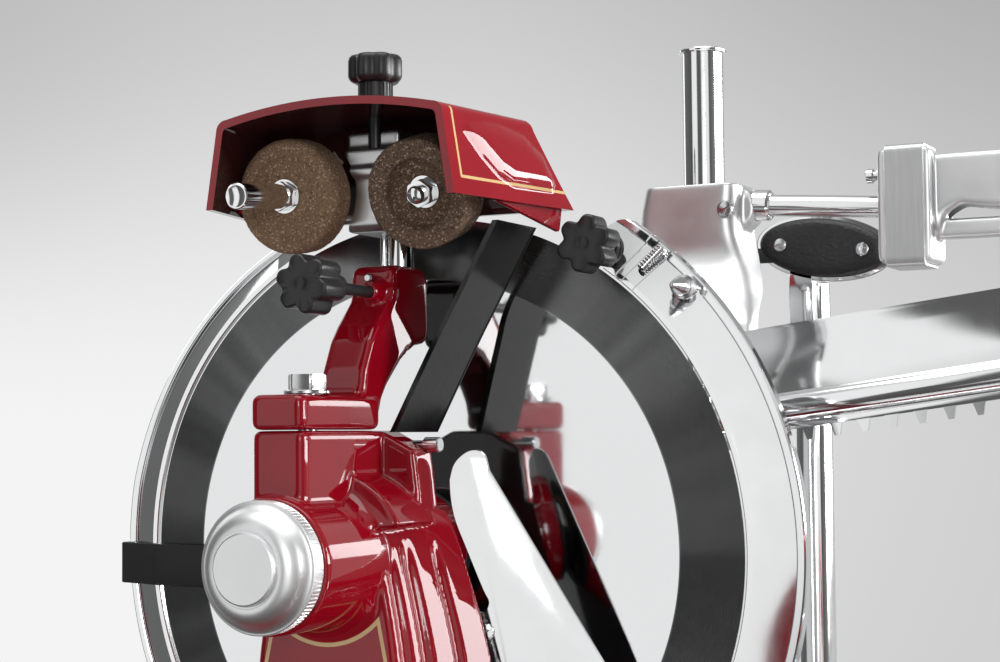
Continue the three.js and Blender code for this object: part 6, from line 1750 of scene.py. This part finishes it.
def makeCarriage():
    c = carriageSize
    deck, top = c["deck"], c["top"]
    form = Form()
    form.prism(plan(c, 0, c["corner"], 8), deck, top, "z", 1.4, 3)
    slot = Form()
    slot.prism(rectangle(*c["slot"]), deck - 5, top + 5)
    grooves = [box((guide - c["guideHalf"], c["front"] - 5, top - c["guideDeep"]),
                   (guide + c["guideHalf"], c["back"] + 5, top + 5)) for guide in c["guides"]]
    addPiece("carriage_deck", form, "castAluminium", "carriage", "carriage", cuts=[slot] + grooves)


def makeCarriageUnderside():
    c, z = carriageSize, railSize["z"]
    half, seam = c["bushHalf"], c["deck"] + 0.5
    rails = railSize["places"].values()
    bushes = Form()
    for y in rails:
        for start in (c["left"] + c["corner"], c["right"] - c["corner"] - c["bush"]):
            end = start + c["bush"]
            bushes.prism(rectangle(y - half, y + half, z - half, seam, 5.5), start, end, "x", 1.2, 3)
    addPiece("carriage_bushes", bushes, "castAluminium", "carriage",
             cuts=[drill(10.3, 60, 400, "x", (y, z), 72) for y in rails])
    hangers = Form()
    x, z = feedPlace
    for y in (c["front"], c["back"] - c["screwBlock"]):
        hangers.block((x - half, y, z - 9.6), (x + half, y + c["screwBlock"], seam), 1)
    addPiece("carriage_hangers", hangers, "castAluminium", "carriage",
             cuts=[drill(6.35, 51, 300, "y", feedPlace)])
    y, z = dialPlace
    half = c["seatHalf"]
    seat = box((c["right"] - c["bush"] / 2, y - half, z - half), (c["right"] - 0.3, y + half, seam), 1.2)
    addPiece("dial_seat", seat, "castAluminium", "carriage", cuts=[drill(*c["stemBore"], "x", dialPlace, 40)])


dialSize = {
    "face": 399.3, "profile": [(0, 390.3), (21.4, 390.3), (22, 390.9), (22, 395.3), (21.6, 395.9),
                               (18.8, 399.3), (0, 399.3)],
    "knob": 11, "knobLong": 15, "stem": (4.7, 375.3, 390.7), "ticks": 30, "tickRing": 17.6, "numbers": 6,
    "numberSize": 4.2, "numberRing": 15.6,
}


def makeDial():
    d = dialSize
    y, z = dialPlace
    form = turned(d["profile"], "x", dialPlace, 120)
    outline = [(y + a, z + b) for a, b in lobedCircle(d["knob"], 0.7, 6, 96)]
    form.prism(outline, d["face"] - 0.4, d["face"] + d["knobLong"], "x", 1.4, 4)
    form.lathe(rodProfile(*d["stem"]), "x", dialPlace, 40)
    addPiece("dial_turned", form, "satinSteel", "dial", "thickness_dial", sharp=28)


def makeDialMarks():
    d = dialSize
    marks = Form()
    turn = Matrix.Translation((d["face"] - 0.02, *dialPlace)) @ Matrix.Rotation(tau / 4, 4, "Y")
    tick = box((-0.55, -0.25, 0), (0.9, 0.25, 0.12))
    marks.take(spread(tick, "blackPlastic", count=d["ticks"], radius=d["tickRing"]), turn)
    upward = Matrix(((0, 0, 1, d["face"] + 0.04), (1, 0, 0, 0), (0, 1, 0, d["numberRing"]), (0, 0, 0, 1)))
    for k in range(d["numbers"]):
        curve = bpy.data.curves.new("dial_number", "FONT")
        curve.body = str(k * 5)
        curve.size, curve.extrude = d["numberSize"], 0.08
        curve.align_x, curve.align_y = "CENTER", "CENTER"
        holder = show("dial_number", curve)
        mesh = bpy.data.meshes.new_from_object(holder.evaluated_get(bpy.context.evaluated_depsgraph_get()))
        bpy.data.objects.remove(holder)
        turn = Matrix.Rotation(tau * k / d["numbers"], 4, "X")
        marks.take(mesh, Matrix.Translation((0, *dialPlace)) @ turn @ upward)
    addPiece("dial_marks", marks, "blackPlastic", "dial", sharp=40)


tableSize = {
    "left": 55, "right": 395, "front": 42, "back": 300, "top": -120, "bottom": -130, "corner": 26,
    "fence": -90, "fenceThick": 6, "guideHalf": 8.7, "guideLow": -139.1, "nutHalf": 11, "nutFront": 96,
    "nutBack": 120, "nutLow": -154,
}


def makeTable():
    t = tableSize
    form = Form()
    form.prism(plan(t, 0, t["corner"], 12), t["bottom"], t["top"], "z", 2.4, 5)
    right, seam = t["right"] - t["corner"], t["bottom"] + 2.5
    front, back = t["front"] + t["corner"], t["back"] - t["corner"]
    wall = [(front, seam), (back, seam), (back, t["fence"], 14), (front, t["fence"], 14)]
    form.prism(rounded(wall, 0, 8), right - t["fenceThick"], right, "x", 1.4, 3)
    for guide in carriageSize["guides"]:
        form.block((guide - t["guideHalf"], front, t["guideLow"]), (guide + t["guideHalf"], back, seam), 0.4)
    addPiece("meat_table_plate", form, "polishedSteel", "table", "meat_table")
    x = feedPlace[0]
    nut = box((x - t["nutHalf"], t["nutFront"], t["nutLow"]), (x + t["nutHalf"], t["nutBack"], seam), 0.8)
    addPiece("feed_nut", nut, "bronze", "table",
             cuts=[drill(6.35, t["nutFront"] - 5, t["nutBack"] + 5, "y", feedPlace)])


feedSize = {
    "wheel": [(0, 264.4), (6.5, 264), (9, 264.4), (10, 266), (14.6, 267.4), (16.4, 266.6), (17.4, 266.8),
              (18, 267.8), (18, 272.2), (17.4, 273.4), (16, 273.8), (14.4, 272.8), (9.4, 274), (8.4, 275.6),
              (6.4, 276), (0, 275.8)],
    "holes": 5, "hole": (2.6, 255, 285), "holeRing": 12,
    "front": [(0, 52), (4.8, 52), (6, 53.2), (6, 64)], "back": [(6, 250), (6, 270), (0, 270)],
    "turns": 45, "threadStart": 66, "pitch": 4, "thread": [(6, 0), (5.2, 1.0), (5.2, 1.6), (6, 2.6)],
}


def makeFeed():
    f = feedSize
    addPiece("feed_wheel_turned", turned(f["wheel"], "y", feedPlace, 120), "polishedSteel", "feed_screw",
             "feed_screw", sharp=28, cuts=[drill(*f["hole"], "y", place, 28)
                                           for place in circle(f["holeRing"], f["holes"], *feedPlace)])
    profile = list(f["front"])
    for k in range(f["turns"]):  # rings stand in for the screw's thread
        profile += [(radius, f["threadStart"] + f["pitch"] * k + y) for radius, y in f["thread"]]
    addPiece("feed_screw_thread", turned(profile + f["back"], "y", feedPlace), "machinedSteel", "feed_screw")


# Flywheel, its pedestal and the crank

wheelPlace = (465, -143)
wheelSize = {
    "rimInner": 156, "radius": 180, "front": -168, "back": -142, "rounding": 5, "hub": 30,
    "hubProfile": [(11.3, -173), (26, -173), (29, -171.8), (30, -169), (30, -140), (28, -137), (11.3, -137)],
    "spokes": 5, "spokeWide": 20, "spokeDeep": 14, "bend": 34, "spokeSteps": 28,
    "boss": [(0, -169.2), (8.4, -169.2), (9.2, -168.4), (9.2, -167), (0, -167)],
}
crankSize = {
    "clock": 35, "radius": 168,
    "pin": [(0, -277), (6.6, -277), (8, -276.4), (8.5, -275.2), (8.5, -272.6), (8, -272), (5, -272),
            (5, -143), (0, -143)],
    "grip": [(5.4, -271.5), (9.4, -271.5), (11.2, -271), (13.4, -268.6), (15.0, -262), (15.5, -252),
             (15.4, -240), (15.0, -222), (13.9, -205), (12.8, -194), (12.2, -184), (12.2, -178),
             (13.4, -175.4), (15.2, -173.6), (15.2, -172), (14.4, -171), (5.4, -171)],
}


def spokeRings():
    w = wheelSize
    start = w["hub"] * 0.8
    middle = (w["front"] + w["back"]) / 2
    for k in range(w["spokeSteps"] + 1):
        share = k / w["spokeSteps"]
        r = start + (w["rimInner"] + 4 - start) * share
        full = (r - w["hub"] * 0.6) / (w["rimInner"] + 6 - w["hub"] * 0.6)
        sway = w["bend"] * math.sin(full * tau / 2) * (full - 0.5) * 2
        flare = 1 + 0.55 * max(0, 1 - share / 0.14) ** 2 + 0.6 * max(0, 1 - (1 - share) / 0.14) ** 2
        wide = w["spokeWide"] / 2 * (1.2 - 0.42 * full) * flare
        yield [Vector((r, sway + wide * a, middle + w["spokeDeep"] / 2 * b)) for a, b in circle(1, 24)]


def makeFlywheel():
    w = wheelSize
    rim = rounded([(w["rimInner"], w["front"]), (w["radius"], w["front"]), (w["radius"], w["back"]),
                   (w["rimInner"], w["back"])], w["rounding"], 6)
    form = turned(rim, "y", steps=192, place=Matrix.Translation((wheelPlace[0], 0, wheelPlace[1])))
    form.lathe(w["hubProfile"], "y", steps=120)
    spoke = Form()
    spoke.skin(list(spokeRings()))
    turn = Matrix(((0, 1, 0, 0), (0, 0, 1, 0), (1, 0, 0, 0), (0, 0, 0, 1)))
    form.take(spread(spoke, "redEnamel", count=w["spokes"], radius=0.0), turn)
    addPiece("flywheel_casting", form, "redEnamel", "flywheel", "flywheel", sharp=35)


def makeCrank():
    c = crankSize
    clock = math.radians(c["clock"])
    centre = (wheelPlace[0] + c["radius"] * math.sin(clock), wheelPlace[1] + c["radius"] * math.cos(clock))
    addPiece("crank_boss", turned(wheelSize["boss"], "y", centre, 64), "machinedSteel", "flywheel")
    addPiece("crank_pin_turned", turned(c["pin"], "y", centre, 64), "polishedSteel", "flywheel", "crank_pin")
    grip = c["grip"][:3] + flowing(c["grip"][3:15], 4) + c["grip"][15:]
    addPiece("crank_grip_turned", turned(grip, "y", centre, 96), "blackPlastic", "crank_handle",
             "crank_handle")


axleSize = {
    "lathed": [[(0, -180), (11, -180), (11, 8), (10, 9), (0, 9)],
               [(0, -176.3), (23.2, -176.3), (24, -175.6), (24, -173.6), (23.4, -173.3), (0, -173.3)],
               [(0, -192), (4, -191.7), (7.6, -190.5), (10.6, -188.4), (12.8, -185.6), (13.6, -183.6),
                (0, -183.6)]],
    "nut": (17, -184, -176.2),
}


def makeAxle():
    form = Form()
    for profile in axleSize["lathed"]:  # the shaft, its washer and its cap
        form.lathe(profile, "y", wheelPlace, 96)
    hexHead(form, *axleSize["nut"], "y", wheelPlace, 0.2)
    addPiece("flywheel_axle_turned", form, "polishedSteel", "flywheel", "flywheel_shaft", sharp=28)


pedestalSize = {
    "front": -104, "back": 24, "corner": 12, "melt": (1.4, 5, 1), "groundLow": (375, -150, -233),
    "groundHigh": (555, 60, -184.7),
    "profile": [(0, -132), (26.5, -132), (28, -130.6), (28, -44), (29.5, -39), (33, -35.5), (40, -32),
                (50, -30.4), (60, -30), (64, -29), (66, -25), (66, -3), (64.5, 1.5), (60, 3), (0, 3)],
    # height under the axle, half width, inset in front and behind
    "foot": [(-41.7, 60, 0), (-32.7, 60, 0), (-29.7, 57, 3), (-21.7, 50, 10), (0, 46, 12)],
    "bore": [(0, -140), (15.3, -140), (15.3, -102), (11.7, -102), (11.7, 8.6), (0, 8.6)],
}


def makePedestal():
    p = pedestalSize
    form = turned(p["profile"], "y", wheelPlace, 120)
    rings = []
    for z, wide, inset in p["foot"]:
        plan = rectangle(-wide, wide, p["front"] + inset, p["back"] - inset, p["corner"], 8)
        rings.append([Vector((wheelPlace[0] + x, y, wheelPlace[1] + z)) for x, y in plan])
    form.skin(rings)
    addPiece("pedestal_casting", form, "redEnamel", replaced="flywheel_pedestal", sharp=50, melt=p["melt"],
             cuts=[box(p["groundLow"], p["groundHigh"]), drill(58.5, -25, -3, "y", wheelPlace, 96),
                   turned(p["bore"], "y", wheelPlace, 64)])


def finishKept():  # nodes of the frame that keep their own shape get the fuller finishes
    finishOf = {slot: finish for finish, slot in reversed(slotOf.items())}
    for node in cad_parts.values():
        if node.hide_render:
            continue
        for place in node.material_slots:
            old = place.material.name.split(".")[0] if place.material else ""
            place.material = looks[finishOf.get(old, "machinedSteel")]


for make in (
    makeKnife, makeColumn, makeHubCap, makeGuard, makeEndPlate, makeCrossClip, makeGuardPin, makeGuardArm,
    makeGuardStay, makeStarKnobs, makeHoodKnob, makeBracket, makeBracketBolt, makeRods, makeHood, makeHoodLip,
    makeStones, makeSpindles, makeCarrier, makeDeflector, makeDeflectorArm, makePosts, makeClampBracket,
    makeClampBlock, makeClampStrap, makePress, makeToothStrip, makeLever, makeGrip, makeBase, makeWebs,
    makeEars, makeFeet, makeRails, makeTray, makeCarriage, makeCarriageUnderside, makeDial, makeDialMarks,
    makeTable, makeFeed, makeFlywheel, makeCrank, makeAxle, makePedestal,
):
    make()
    print("made", make.__name__[4:])
finishKept()
print("kept nodes finished")
